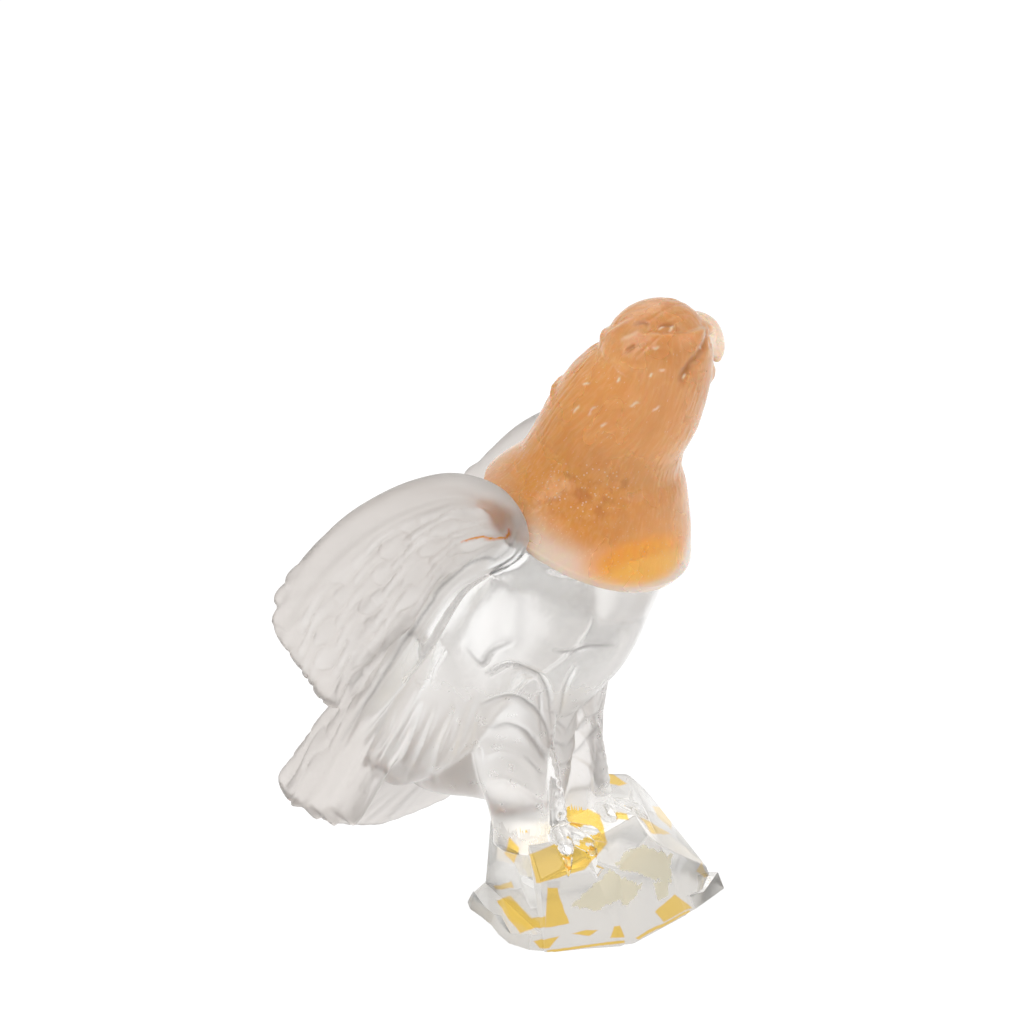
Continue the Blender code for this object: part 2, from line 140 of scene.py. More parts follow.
def scatter(first: np.ndarray, second: np.ndarray) -> np.ndarray:
    """A repeatable random number from 0 to 1 for each pair of whole numbers."""
    return np.modf(np.abs(np.sin(first * 12.9898 + second * 78.233) * 43758.5453))[0]


def wander(points: np.ndarray, size: float, seed: float = 0.0) -> np.ndarray:
    """A soft irregular field from about -1 to 1.

    Args:
        points: places in metres.
        size: the length of its slowest waves, in metres.
        seed: shifts the field.

    Returns:
        One value for each point.
    """
    x, y, z = (points / size * 2.0 * math.pi).T
    total = np.sin(x * 1.1 + 1.7 * np.sin(y * 0.7 + seed) + seed)
    total = total + np.sin(y * 1.3 + 1.5 * np.sin(z * 0.9 + 2 * seed))
    total += np.sin(z * 1.2 + 1.6 * np.sin(x * 0.8 + 3 * seed)) + 0.5 * np.sin(2.3 * x + 1.9 * y - 2.1 * z + seed)
    return total / 3.0


def loft(builder: bmesh.types.BMesh, rings: list[Ring], sides: int = 32) -> None:
    """Skins a closed shape over elliptic rings.

    Args:
        builder: the mesh that gets the shape.
        rings: each ring's centre, half-width vector and half-depth vector.
        sides: how many corners a ring has.
    """
    loops = []
    for index, (centre, across, deep) in enumerate(rings):
        place = Matrix.Identity(4)
        for column, axis in enumerate((across, deep, across.cross(deep).normalized(), centre)):
            for row in range(3):
                place[row][column] = axis[row]
        is_end = index in (0, len(rings) - 1)
        ring = bmesh.ops.create_circle(builder, cap_ends=is_end, radius=1, segments=sides, matrix=place)
        corners = ring["verts"]
        inside = set(corners)
        loops.append([edge for edge in {e for v in corners for e in v.link_edges} if set(edge.verts) <= inside])
    for lower, upper in zip(loops, loops[1:]):
        bmesh.ops.bridge_loops(builder, edges=lower + upper)


def refined(stations: list[tuple[float, ...]], steps: int) -> list[tuple[float, ...]]:
    """Puts smooth stations between the given ones, on a curve through them.

    Args:
        stations: rows of numbers, one row for each station.
        steps: how many new spans each old span becomes.

    Returns:
        The longer list of rows.
    """
    rows = [np.array(row, dtype=float) for row in stations]
    result = []
    for index in range(len(rows) - 1):
        before, first = rows[max(index - 1, 0)], rows[index]
        second, after = rows[index + 1], rows[min(index + 2, len(rows) - 1)]
        for step in range(steps):
            t = step / steps
            bend = 2 * first - 2 * second + 0.5 * (second - before) + 0.5 * (after - first)
            turn = -3 * first + 3 * second - (second - before) - 0.5 * (after - first)
            result.append(tuple(bend * t**3 + turn * t**2 + 0.5 * (second - before) * t + first))
    result.append(tuple(rows[-1]))
    return result


def rings_along(centres: list[Vector], halves: list[tuple[float, float]], beside: Vector) -> list[Ring]:
    """Rings square to a path.

    Args:
        centres: the path's points, in metres.
        halves: each ring's half sizes along beside and through, in shares.
        beside: the direction that the rings' width follows.

    Returns:
        Rings for loft.
    """
    rings = []
    for index, (half_width, half_depth) in enumerate(halves):
        along = centres[min(index + 1, len(centres) - 1)] - centres[max(index - 1, 0)]
        deep = beside.cross(along).normalized()
        across = along.cross(deep).normalized()
        rings.append((centres[index], across * half_width * SHARE, deep * half_depth * SHARE))
    return rings


def limb(builder: bmesh.types.BMesh, stations: Rows, left: float, sides: int) -> None:
    """Adds a round form that runs up or along the figure.

    Args:
        builder: the mesh that gets it.
        stations: rows of (forward, up, half width, half depth), in shares.
        left: how far left of the middle it lies, in shares.
        sides: how many corners a ring has.
    """
    rows = refined(list(stations), 4)
    centres = [at(left, row[0], row[1]) for row in rows]
    loft(builder, rings_along(centres, [row[2:] for row in rows], LEFT), sides=sides)


def blob(builder: bmesh.types.BMesh, centre: Vector, half_sizes: tuple[float, ...], turn: Matrix) -> None:
    """Adds an ellipsoid.

    Args:
        builder: the mesh that gets it.
        centre: its middle, in metres.
        half_sizes: its half sizes, in shares.
        turn: its turn.
    """
    place = Matrix.Translation(centre) @ turn.to_4x4() @ Matrix.Diagonal((*[n * SHARE for n in half_sizes], 1))
    bmesh.ops.create_uvsphere(builder, u_segments=32, v_segments=16, radius=1, matrix=place)


def blade(
    builder: bmesh.types.BMesh, root: Vector, tip: Vector, width: float, thickness: float, face: Vector,
    tip_share: float = 0.8,
) -> None:
    """Adds one long flight feather: a flat bar with a blunt rounded tip and a raised shaft.

    Args:
        builder: the mesh that gets it.
        root: where it starts, in metres.
        tip: where it ends, in metres.
        width: its width, in shares.
        thickness: its thickness, in shares.
        face: the way that its flat side looks.
        tip_share: how wide its tip is, as a share of its width.
    """
    spine = tip - root
    across = spine.cross(face).normalized()
    flat = across.cross(spine).normalized()
    profile = [(0.0, 0.5, 0.6), (0.15, 0.85, 1.0), (0.5, 1.0, 1.0)]
    for step in (0.0, 0.35, 0.6, 0.8, 0.93, 1.0):
        round_off = math.sqrt(1.0 - step * step)
        profile.append((0.84 + 0.16 * step, tip_share + (1.0 - tip_share) * round_off, 0.6 + 0.3 * round_off))
    rings = []
    for share, wide, thick in profile:
        half_width, half_depth = across * width * SHARE * wide / 2, flat * thickness * SHARE * thick / 2
        rings.append((root + spine * share, half_width, half_depth))
    loft(builder, rings, sides=20)
    for way in (-1, 1):
        shaft = []
        for share in (0.1, 0.5, 0.93):
            middle = root + spine * share + flat * SHARE * way * thickness * 0.42
            shaft.append((middle, across * SHARE * 0.5, flat * SHARE * 0.45 * (1.2 - share)))
        loft(builder, shaft, sides=8)


def new_object(name: str, builder: bmesh.types.BMesh) -> bpy.types.Object:
    """Makes an object from the shapes in a bmesh, with their faces turned outwards."""
    bmesh.ops.recalc_face_normals(builder, faces=builder.faces)
    mesh = bpy.data.meshes.new(name)
    builder.to_mesh(mesh)
    builder.free()
    piece = bpy.data.objects.new(name, mesh)
    bpy.context.scene.collection.objects.link(piece)
    return piece


def settle(piece: bpy.types.Object) -> None:
    """Applies every modifier of a piece to its mesh."""
    depsgraph = bpy.context.evaluated_depsgraph_get()
    mesh = bpy.data.meshes.new_from_object(piece.evaluated_get(depsgraph))
    old = piece.data
    piece.modifiers.clear()
    piece.data = mesh
    bpy.data.meshes.remove(old)
    mesh.name = piece.name


def fuse(piece: bpy.types.Object, voxel: float, smoothing: int) -> None:
    """Fuses overlapping shapes into one skin.

    Args:
        piece: the object to change.
        voxel: the size of the skin's faces, in metres.
        smoothing: how many times it is softened.
    """
    remesh = piece.modifiers.new("fuse", "REMESH")
    remesh.mode = "VOXEL"
    remesh.voxel_size = voxel
    settle(piece)
    soften(piece, smoothing)


def soften(piece: bpy.types.Object, times: int, group: str = "") -> None:
    """Smooths a piece's skin, or only where a vertex group says."""
    smooth = piece.modifiers.new("soften", "SMOOTH")
    smooth.factor = 0.5
    smooth.iterations = times
    smooth.vertex_group = group
    settle(piece)


def mark(piece: bpy.types.Object, name: str, weights: np.ndarray) -> None:
    """Puts a piece's vertices in a vertex group, by weights from 0 to 1 in eighths."""
    group = piece.vertex_groups.new(name=name)
    levels = np.round(weights * 8).astype(int)
    for level in range(1, 9):
        group.add(np.nonzero(levels == level)[0].tolist(), level / 8, "REPLACE")


def thin_to(piece: bpy.types.Object, triangles: int) -> None:
    """Thins a piece's skin to about that many triangles."""
    piece.data.calc_loop_triangles()
    share = triangles / len(piece.data.loop_triangles)
    if share < 1.0:
        thin = piece.modifiers.new("thin", "DECIMATE")
        thin.ratio = share
        settle(piece)


def cut(piece: bpy.types.Object, tool: bpy.types.Object, kind: Cut) -> None:
    """Joins a tool shape to a piece or takes it away, then removes the tool."""
    boolean = piece.modifiers.new(kind.name, "BOOLEAN")
    boolean.operation = kind.value
    boolean.object = tool
    boolean.solver = "MANIFOLD"
    settle(piece)
    bpy.data.objects.remove(tool)


def triples(items: bpy.types.bpy_prop_collection, name: str) -> np.ndarray:
    """One vector of every item in a mesh's collection, as rows."""
    values = np.empty(len(items) * 3)
    items.foreach_get(name, values)
    return values.reshape(-1, 3)


def skin_of(piece: bpy.types.Object) -> tuple[np.ndarray, np.ndarray]:
    """The places and the outward directions of a piece's vertices."""
    return triples(piece.data.vertices, "co"), triples(piece.data.vertex_normals, "vector")


def faces_of(piece: bpy.types.Object) -> tuple[np.ndarray, np.ndarray]:
    """The middles and the outward directions of a piece's faces."""
    return triples(piece.data.polygons, "center"), triples(piece.data.polygons, "normal")


def press(piece: bpy.types.Object, places: np.ndarray) -> None:
    """Moves a piece's vertices to new places."""
    piece.data.vertices.foreach_set("co", places.ravel())
    piece.data.update()


@dataclass(frozen=True)
class FeatherRows:
    """Combed feathers that overlap along unbroken columns, as a height over a surface.

    Lengths along and across the surface are in shares, heights in metres.
    """

    length: float
    width: float
    rise: float
    crown: float
    overlap: float = 1.5
    unevenness: float = 0.5
    wave: float = 0.2

    def height(self, along: np.ndarray, across: np.ndarray) -> np.ndarray:
        """How far the feathers stand out.

        Args:
            along: distance from the roots' side, in shares.
            across: distance across the columns, in shares.

        Returns:
            The height of each point.
        """
        sway = self.wave * np.sin(along / self.length * 2.4 + across / self.width * 1.7)
        column = np.floor(across / self.width + sway)
        beside = (across / self.width + sway - column - 0.5) * 2.0
        place = along / self.length + scatter(column, column * 0.0 + 5.0) * 3.0
        best = np.zeros_like(along)
        for shift in (0, 1):
            row = np.floor(place) - shift
            luck = scatter(row, column)
            reach = self.overlap * (1.0 + self.unevenness * (luck - 0.5))
            share = (place - row) / reach
            outline = np.sqrt(np.clip(1.0 - (np.clip(share - 0.4, 0.0, None) / 0.6) ** 2, 0.0, 1.0))
            inside = (np.abs(beside) < outline) & (share < 1.0)
            height = self.rise * share * (0.5 + luck) + self.crown * (1.0 - np.abs(beside) ** 2.5)
            height = height * np.sqrt(np.clip((1.0 - share) / 0.15, 0.0, 1.0))
            best = np.where(inside, np.maximum(best, height), best)
        return best


@dataclass(frozen=True)
class Pen:
    """How wide and how deep a stroke is, in metres, and its raised lip. A negative depth makes a ridge."""

    reach: float
    depth: float
    sharp: bool = False
    lip: float = 0.0


@dataclass(frozen=True)
class Stroke:
    """A groove or a ridge that a pen draws along a path on the skin, in metres."""

    path: tuple[Vector, ...]
    pen: Pen

    def on_skin(self, piece: bpy.types.Object) -> "Stroke":
        """The same stroke, smoothed and moved onto a piece's skin."""
        corners = [Vector(row) for row in refined([tuple(corner) for corner in self.path], 4)]
        return Stroke(tuple(piece.closest_point_on_mesh(corner)[1] for corner in corners), self.pen)

    def sink(self, places: np.ndarray) -> np.ndarray:
        """How far the stroke moves each point inwards.

        Args:
            places: points in metres.

        Returns:
            One depth for each point, in metres.
        """
        reach = self.pen.reach
        corners = [np.array(corner) for corner in self.path]
        low = np.min(corners, axis=0) - reach * 3
        high = np.max(corners, axis=0) + reach * 3
        near = np.nonzero(((places > low) & (places < high)).all(axis=1))[0]
        depth = np.zeros(len(places))
        if len(near) == 0:
            return depth
        here = places[near]
        best = np.full(len(near), 1e9)
        fade = np.zeros(len(near))
        for index, (start, end) in enumerate(zip(corners, corners[1:])):
            span = end - start
            share = np.clip(((here - start) @ span) / max(span @ span, 1e-12), 0.0, 1.0)
            distance = np.linalg.norm(here - start - share[:, None] * span, axis=1)
            closer = distance < best
            best = np.where(closer, distance, best)
            way = (index + share) / (len(corners) - 1)
            fade = np.where(closer, np.sin(np.pi * np.clip(way, 0.02, 0.98)) ** 0.4, fade)
        if self.pen.sharp:
            profile = np.clip(1.0 - best / reach, 0.0, 1.0) ** 1.5
        else:
            profile = np.exp(-((best / reach) ** 2) * 2.0)
        profile = profile - self.pen.lip * np.exp(-(((best - 1.5 * reach) / (0.7 * reach)) ** 2))
        depth[near] = self.pen.depth * profile * fade
        return depth


def deepest(piece: bpy.types.Object, strokes: list[Stroke], places: np.ndarray) -> np.ndarray:
    """How deep the deepest of several strokes on a piece's skin is at each place, or 0."""
    depth = np.zeros(len(places))
    for stroke in strokes:
        depth = np.maximum(depth, stroke.on_skin(piece).sink(places))
    return depth


@dataclass(frozen=True)
class Torso:
    """The body from the rump up the spine to the seam, and the swell of each flank."""

    stations: Rows = (
        (-29.0, 8.5, 9.0, 4.6),
        (-26.0, 11.5, 11.0, 6.6),
        (-20.5, 16.5, 12.6, 9.0),
        (-13.0, 23.5, 14.0, 11.6),
        (-6.5, 31.0, 15.0, 13.4),
        (-1.4, 38.5, 16.0, 14.9),
        (1.6, 46.5, 16.6, 15.8),
        (4.2, 54.0, 16.8, 16.4),
        (5.6, 58.0, 16.6, 16.4),
    )
    flank: Rows = (
        (13.4, 5.0, 59.0, 4.2, 4.4),
        (14.2, 4.2, 54.8, 6.0, 7.0),
        (13.6, -0.6, 46.2, 7.0, 9.2),
        (13.2, -6.2, 37.8, 7.2, 10.6),
        (13.0, -12.8, 29.0, 7.2, 11.0),
        (12.8, -19.2, 20.6, 6.8, 10.0),
        (12.2, -25.2, 13.2, 5.8, 7.6),
        (11.0, -29.8, 7.6, 4.0, 4.4),
    )
    breast: Rows = (
        (-10.0, 31.0, 17.0, 9.5),
        (-5.0, 36.5, 19.2, 12.6),
        (-0.5, 43.0, 20.2, 14.4),
        (2.4, 50.0, 20.4, 15.0),
        (4.6, 56.0, 19.6, 14.8),
    )
    web: Rows = (
        (1.6, 21.0, 3.0, 9.0),
        (-1.0, 19.0, 6.0, 18.0),
        (-5.0, 17.0, 9.0, 18.0),
        (-10.0, 16.0, 11.5, 14.5),
        (-16.0, 12.5, 13.0, 10.5),
        (-22.0, 9.2, 11.5, 8.0),
        (-26.5, 6.2, 8.6, 5.0),
        (-30.5, 3.4, 4.6, 1.8),
    )

    def add_to(self, builder: bmesh.types.BMesh) -> None:
        """Adds the torso, the swell of each flank and the web of glass under the tail."""
        for stations in (self.stations, self.breast):
            limb(builder, stations, 0.0, sides=72)
        for side in Side:
            rows = refined(list(self.flank), 4)
            centres = [at(side.value * row[0], row[1], row[2]) for row in rows]
            loft(builder, rings_along(centres, [row[3:] for row in rows], LEFT), sides=48)
        rings = []
        for forward, up, half_width, half_depth in refined(list(self.web), 3):
            rings.append((at(0, forward, up), LEFT * half_width * SHARE, UP * half_depth * SHARE))
        loft(builder, rings, sides=48)


@dataclass(frozen=True)
class Wing:
    """A half-raised wing in a sheet that runs back from the wrist and leans outwards."""

    wrist_forward: float = 6.5
    spread: float = 0.18
    lean: float = 0.12
    root_offset: float = 15.6
    middle_up: float = 26.5
    belly: float = 1.4
    thickness: float = 5.0
    left_lift: float = 0.10
    left_raise: float = 1.6
    fan: Rows = (
        (4.4, 65.0, 1.6, 60.2),
        (7.0, 68.8, 2.6, 58.0),
        (12.0, 69.4, 6.0, 56.2),
        (18.5, 67.6, 9.8, 53.9),
        (25.2, 64.4, 13.4, 51.0),
        (32.0, 60.4, 17.2, 47.4),
        (38.4, 55.0, 20.6, 42.8),
        (44.0, 48.8, 23.8, 37.6),
        (48.2, 42.0, 27.4, 33.8),
        (50.2, 35.4, 30.9, 30.4),
        (46.4, 29.6, 34.2, 26.6),
        (42.0, 23.2, 38.4, 21.6),
    )
    rim: Rows = (
        (1.2, 58.6, 1.6, 2.2),
        (2.2, 62.4, 2.2, 2.7),
        (5.6, 66.2, 2.7, 2.8),
        (12.0, 67.2, 3.0, 2.8),
        (18.5, 65.4, 3.1, 2.6),
        (25.3, 61.8, 3.2, 2.4),
        (32.6, 56.6, 3.2, 2.2),
        (39.0, 50.2, 3.0, 2.0),
        (44.4, 43.4, 2.7, 1.7),
        (48.2, 37.0, 2.2, 1.4),
    )
    tongue: Rows = (
        (0.0, 60.4, 1.2, 1.3),
        (2.2, 57.2, 1.7, 1.6),
        (6.9, 54.2, 2.1, 1.7),
        (12.0, 50.6, 2.5, 1.7),
        (16.0, 45.6, 3.0, 1.7),
        (20.0, 39.6, 3.4, 1.7),
        (25.4, 32.6, 3.4, 1.6),
        (31.4, 24.8, 3.0, 1.5),
        (37.0, 17.2, 2.4, 1.3),
        (40.0, 12.8, 1.6, 1.0),
    )
    covert_top: Curve = (
        (-2.0, 61.8), (1.4, 63.4), (5.7, 65.6), (12.0, 65.2), (18.5, 62.4), (25.4, 58.2), (33.9, 50.8),
        (41.0, 43.1), (46.6, 35.0), (52.0, 26.0),
    )
    covert_foot: Curve = (
        (-2.0, 61.4), (1.7, 58.6), (6.2, 55.9), (11.8, 52.1), (16.1, 47.5), (19.3, 43.0), (24.7, 34.8),
        (32.8, 23.9), (38.2, 15.9), (52.0, -4.0),
    )
    covert_columns: float = 9.0
    covert_seat: float = 0.0006
    secondaries: Rows = (
        (8.0, 62.6, 46.8, 44.9),
        (8.4, 60.6, 49.5, 41.1),
        (9.0, 58.8, 50.4, 36.9),
        (11.0, 56.6, 49.0, 32.9),
        (14.0, 53.4, 45.8, 29.3),
        (18.0, 49.0, 42.4, 24.8),
    )
    secondary_width: float = 6.2
    secondary_thickness: float = 3.0
    secondary_outward: float = 1.9
    primaries: Rows = (
        (24.0, 38.0, 51.6, 2.4),
        (22.5, 38.0, 48.4, 0.2),
        (20.5, 38.0, 45.2, -0.8),
        (19.0, 38.0, 41.6, -0.4),
    )
    primary_width: float = 8.8
    primary_thickness: float = 3.4
    primary_step: float = 0.4
    coverts: FeatherRows = FeatherRows(6.0, 1.15, 0.0012, 0.0008, unevenness=0.7, wave=0.28)
    lining: FeatherRows = FeatherRows(8.0, 1.25, 0.0006, 0.0004)
    fan_back: float = -3.0
    fan_up: float = 61.0

    def place(self, side: Side, back: float, up: float, outward: float = 0.0) -> Vector:
        """A point on the wing's sheet, moved outwards, all in shares."""
        lateral = self.root_offset + self.spread * back + self.lean * (up - self.middle_up) + outward
        return at(side.value * lateral, self.wrist_forward - back, up + self.lift(side, back))

    def lift(self, side: Side, back: float | np.ndarray) -> float | np.ndarray:
        """How much higher the left wing is held, in shares."""
        return self.left_raise + self.left_lift * back if side is Side.LEFT else 0.0 * back

    def swell(self, back: float, up: float) -> float:
        """How far the cupped wing bellies outwards at a place on its sheet, in shares."""
        return self.belly * max(0.0, 1 - ((back - 24.0) / 30.0) ** 2 - ((up - 46.0) / 30.0) ** 2)

    def foot_at(self, back: float | np.ndarray) -> float | np.ndarray:
        """How high the coverts' foot is at a distance back, in shares."""
        return np.interp(back, *zip(*self.covert_foot))

    def on_wing(self, places: np.ndarray, side: Side) -> tuple[np.ndarray, ...]:
        """Where points lie on one wing.

        Args:
            places: points in metres.
            side: which wing.

        Returns:
            How far back and up they are on the sheet, and how far out from the figure's middle and
            from the sheet, in shares.
        """
        left, forward, up = in_shares(places)
        back = self.wrist_forward - forward
        up = up - self.lift(side, back)
        lateral = side.value * left
        sheet = self.root_offset + self.spread * back + self.lean * (up - self.middle_up)
        return back, up, lateral, lateral - sheet

    def add_fold(self, builder: bmesh.types.BMesh, side: Side, rows: Rows, outward: Vector) -> None:
        """Adds a raised fold that follows places on the wing's outer face."""
        folds = [Fold(*row) for row in refined(list(rows), 4)]
        centres = [self.place(side, f.back, f.up, self.swell(f.back, f.up) + 0.6) for f in folds]
        rings = []
        for index, fold in enumerate(folds):
            along = centres[min(index + 1, len(folds) - 1)] - centres[max(index - 1, 0)]
            across = along.cross(outward).normalized() * fold.half_width * SHARE
            rings.append((centres[index], across, outward * fold.half_thickness * SHARE))
        loft(builder, rings, sides=32)

    def add_to(self, builder: bmesh.types.BMesh, side: Side) -> None:
        """Adds one wing: its cupped fan, its folds and its flight feathers."""
        outward = Vector((side.value, 0.25, 0.0)).normalized()
        rows = refined(list(self.fan), 5)
        rings = []
        for index, (back, up, low_back, low_up) in enumerate(rows):
            share = index / (len(rows) - 1)
            high, low = self.place(side, back, up), self.place(side, low_back, low_up)
            belly = outward * self.swell((back + low_back) / 2, (up + low_up) / 2) * SHARE
            thickness = self.thickness * (1.2 - 0.5 * share) * SHARE
            rings.append(((high + low) / 2 + belly, (high - low) / 2, outward * thickness / 2))
        loft(builder, rings, sides=64)
        self.add_fold(builder, side, self.rim, outward)
        self.add_fold(builder, side, self.tongue, outward)
        for index, (back, up, tip_back, tip_up) in enumerate(self.secondaries):
            lift = self.secondary_outward - 0.3 * index
            root, tip = self.place(side, back, up, lift), self.place(side, tip_back, tip_up, lift * 0.5)
            blade(builder, root, tip, self.secondary_width, self.secondary_thickness, outward, tip_share=0.12)
        for index, (back, up, tip_back, tip_up) in enumerate(self.primaries):
            lift = -self.primary_step * index
            root, tip = self.place(side, back, up, lift - 1.0), self.place(side, tip_back, tip_up, lift)
            blade(builder, root, tip, self.primary_width, self.primary_thickness, outward)

    def relief(self, places: np.ndarray, outward: np.ndarray, side: Side) -> np.ndarray:
        """The height of the coverts on one wing's skin, in metres."""
        back, up, lateral, off_sheet = self.on_wing(places, side)
        on_sheet = smooth_between(7.5, 5.5, np.abs(off_sheet - 1.0)) * smooth_between(15.0, 17.0, lateral)
        facing = outward[:, 0] * side.value
        foot = self.foot_at(back)
        top = np.interp(back, *zip(*self.covert_top))
        level = (up - foot) / np.maximum(top - foot, 0.5)
        along = np.hypot(back - self.fan_back, self.fan_up - up)
        outer = self.coverts.height(along, level * self.covert_columns) * smooth_between(0.2, 0.5, facing)
        inner = self.lining.height(along, level * self.covert_columns) * smooth_between(0.2, 0.5, -facing)
        body = smooth_between(0.0, 0.06, level) * smooth_between(1.03, 0.93, level)
        body = body * smooth_between(6.0, 12.0, along)
        return on_sheet * body * (outer + inner - self.covert_seat)

    def above_foot(self, places: np.ndarray) -> np.ndarray:
        """How far points stand above the coverts' foot on the nearer wing, in shares."""
        left, forward, up = in_shares(places)
        back = self.wrist_forward - forward
        lift = np.where(left > 0.0, self.lift(Side.LEFT, back), 0.0)
        return up - lift - self.foot_at(back)

    def satin(self, places: np.ndarray, side: Side) -> np.ndarray:
        """A mask that is 1 on one wing's satin skin, above the tongue and on the far side of the sheet."""
        back, up, lateral, off_sheet = self.on_wing(places, side)
        above = smooth_between(-4.5, -1.5, up - self.foot_at(back))
        return above * smooth_between(12.5, 15.5, lateral) * smooth_between(-9.0, -6.0, off_sheet)


@dataclass(frozen=True)
class Tail:
    """A rolled fan of flat tail feathers."""

    feathers: int = 9
    root: tuple[float, float, float] = (0.0, -20.0, 14.0)
    length: float = 33.5
    drop: float = math.radians(45.5)
    fan: float = math.radians(24.0)
    width: float = 6.6
    thickness: float = 2.5
    step: float = 0.6
    roll: float = math.radians(9.0)
    turn: float = math.radians(6.0)

    def add_to(self, builder: bmesh.types.BMesh) -> None:
        """Adds the tail feathers."""
        root = at(*self.root)
        turned = Matrix.Rotation(-self.turn, 3, UP)
        down = turned @ (-FORWARD * math.cos(self.drop) - UP * math.sin(self.drop))
        beside = turned @ LEFT
        roll = Matrix.Rotation(self.roll, 3, down)
        face = roll @ down.cross(beside)
        for index in range(self.feathers):
            turn = self.fan * (2 * index / (self.feathers - 1) - 1)
            spine = down * math.cos(turn) + beside * math.sin(turn)
            sink = face * self.step * (2 - abs(index - self.feathers // 2)) * SHARE / 2
            start = root + roll @ (beside * math.sin(turn) * 8.0 * SHARE)
            tip = root + roll @ (spine * self.length * SHARE) + sink
            blade(builder, start, tip, self.width, self.thickness, face)


@dataclass(frozen=True)
class Leg:
    """A feathered thigh, a bare shank and a gripping foot."""

    offset: float = 7.8
    shank_offset: float = 7.2
    thigh: Rows = (
        (-2.5, 41.0, 8.4, 10.5),
        (-4.2, 33.5, 8.4, 10.2),
        (-4.9, 25.3, 7.5, 9.0),
        (-4.9, 17.6, 6.5, 8.1),
        (-4.0, 11.0, 5.9, 7.4),
        (-2.8, 5.5, 5.4, 6.6),
        (-2.0, 1.0, 5.2, 6.3),
        (-2.0, -2.5, 5.2, 6.3),
    )
    shank: Rows = (
        (0.6, 21.0, 1.6, 1.6),
        (2.6, 15.0, 1.5, 1.5),
        (3.9, 9.0, 1.4, 1.5),
        (4.6, 3.0, 1.6, 1.8),
        (4.8, -1.0, 2.2, 2.4),
    )
    heel_forward: float = 4.6
    toe_turns: tuple[float, ...] = (-42.0, 0.0, 42.0, 180.0)
    toe: Rows = (
        (0.0, 1.2, 1.9),
        (2.2, 1.3, 1.8),
        (4.4, 1.0, 1.6),
        (6.0, 0.6, 1.6),
        (7.2, -0.4, 1.1),
        (7.9, -2.2, 0.7),
        (7.9, -4.4, 0.25),
    )
    beads: int = 9
    bead: tuple[float, float, float] = (1.3, 0.9, 0.8)

    def add_to(self, builder: bmesh.types.BMesh, side: Side) -> None:
        """Adds one leg."""
        heel = side.value * self.shank_offset
        limb(builder, self.thigh, side.value * self.offset, sides=48)
        limb(builder, self.shank, heel, sides=20)
        for index in range(self.beads):
            share = index / (self.beads - 1)
            forward, up = 1.6 + 3.6 * share**0.7, 17.0 - 16.0 * share
            blob(builder, at(heel, forward + 0.9, up), self.bead, Matrix.Identity(3))
        for degrees in self.toe_turns:
            turn = math.radians(degrees)
            rows = refined(list(self.toe), 3)
            centres = []
            for out, up, _ in rows:
                left = heel + side.value * out * math.sin(turn)
                centres.append(at(left, self.heel_forward + out * math.cos(turn), up))
            beside = Matrix.Rotation(-turn * side.value, 3, UP) @ LEFT
            loft(builder, rings_along(centres, [(row[2], row[2]) for row in rows], beside), sides=16)


@dataclass(frozen=True)
class Facet:
    """One flat of the rock.

    Heading is in degrees clockwise from straight ahead, reach the flat's distance from the middle of the
    underside at the given height, both in metres, and lean how many degrees it tips back from upright.
    """

    heading: float
    reach: float
    height: float
    lean: float

    def plane(self) -> tuple[Vector, Vector]:
        """A point on the flat and its outward direction."""
        heading, lean = math.radians(self.heading), math.radians(self.lean)
        outwards = FORWARD * math.cos(heading) - LEFT * math.sin(heading)
        return outwards * self.reach + UP * self.height, outwards * math.cos(lean) + UP * math.sin(lean)


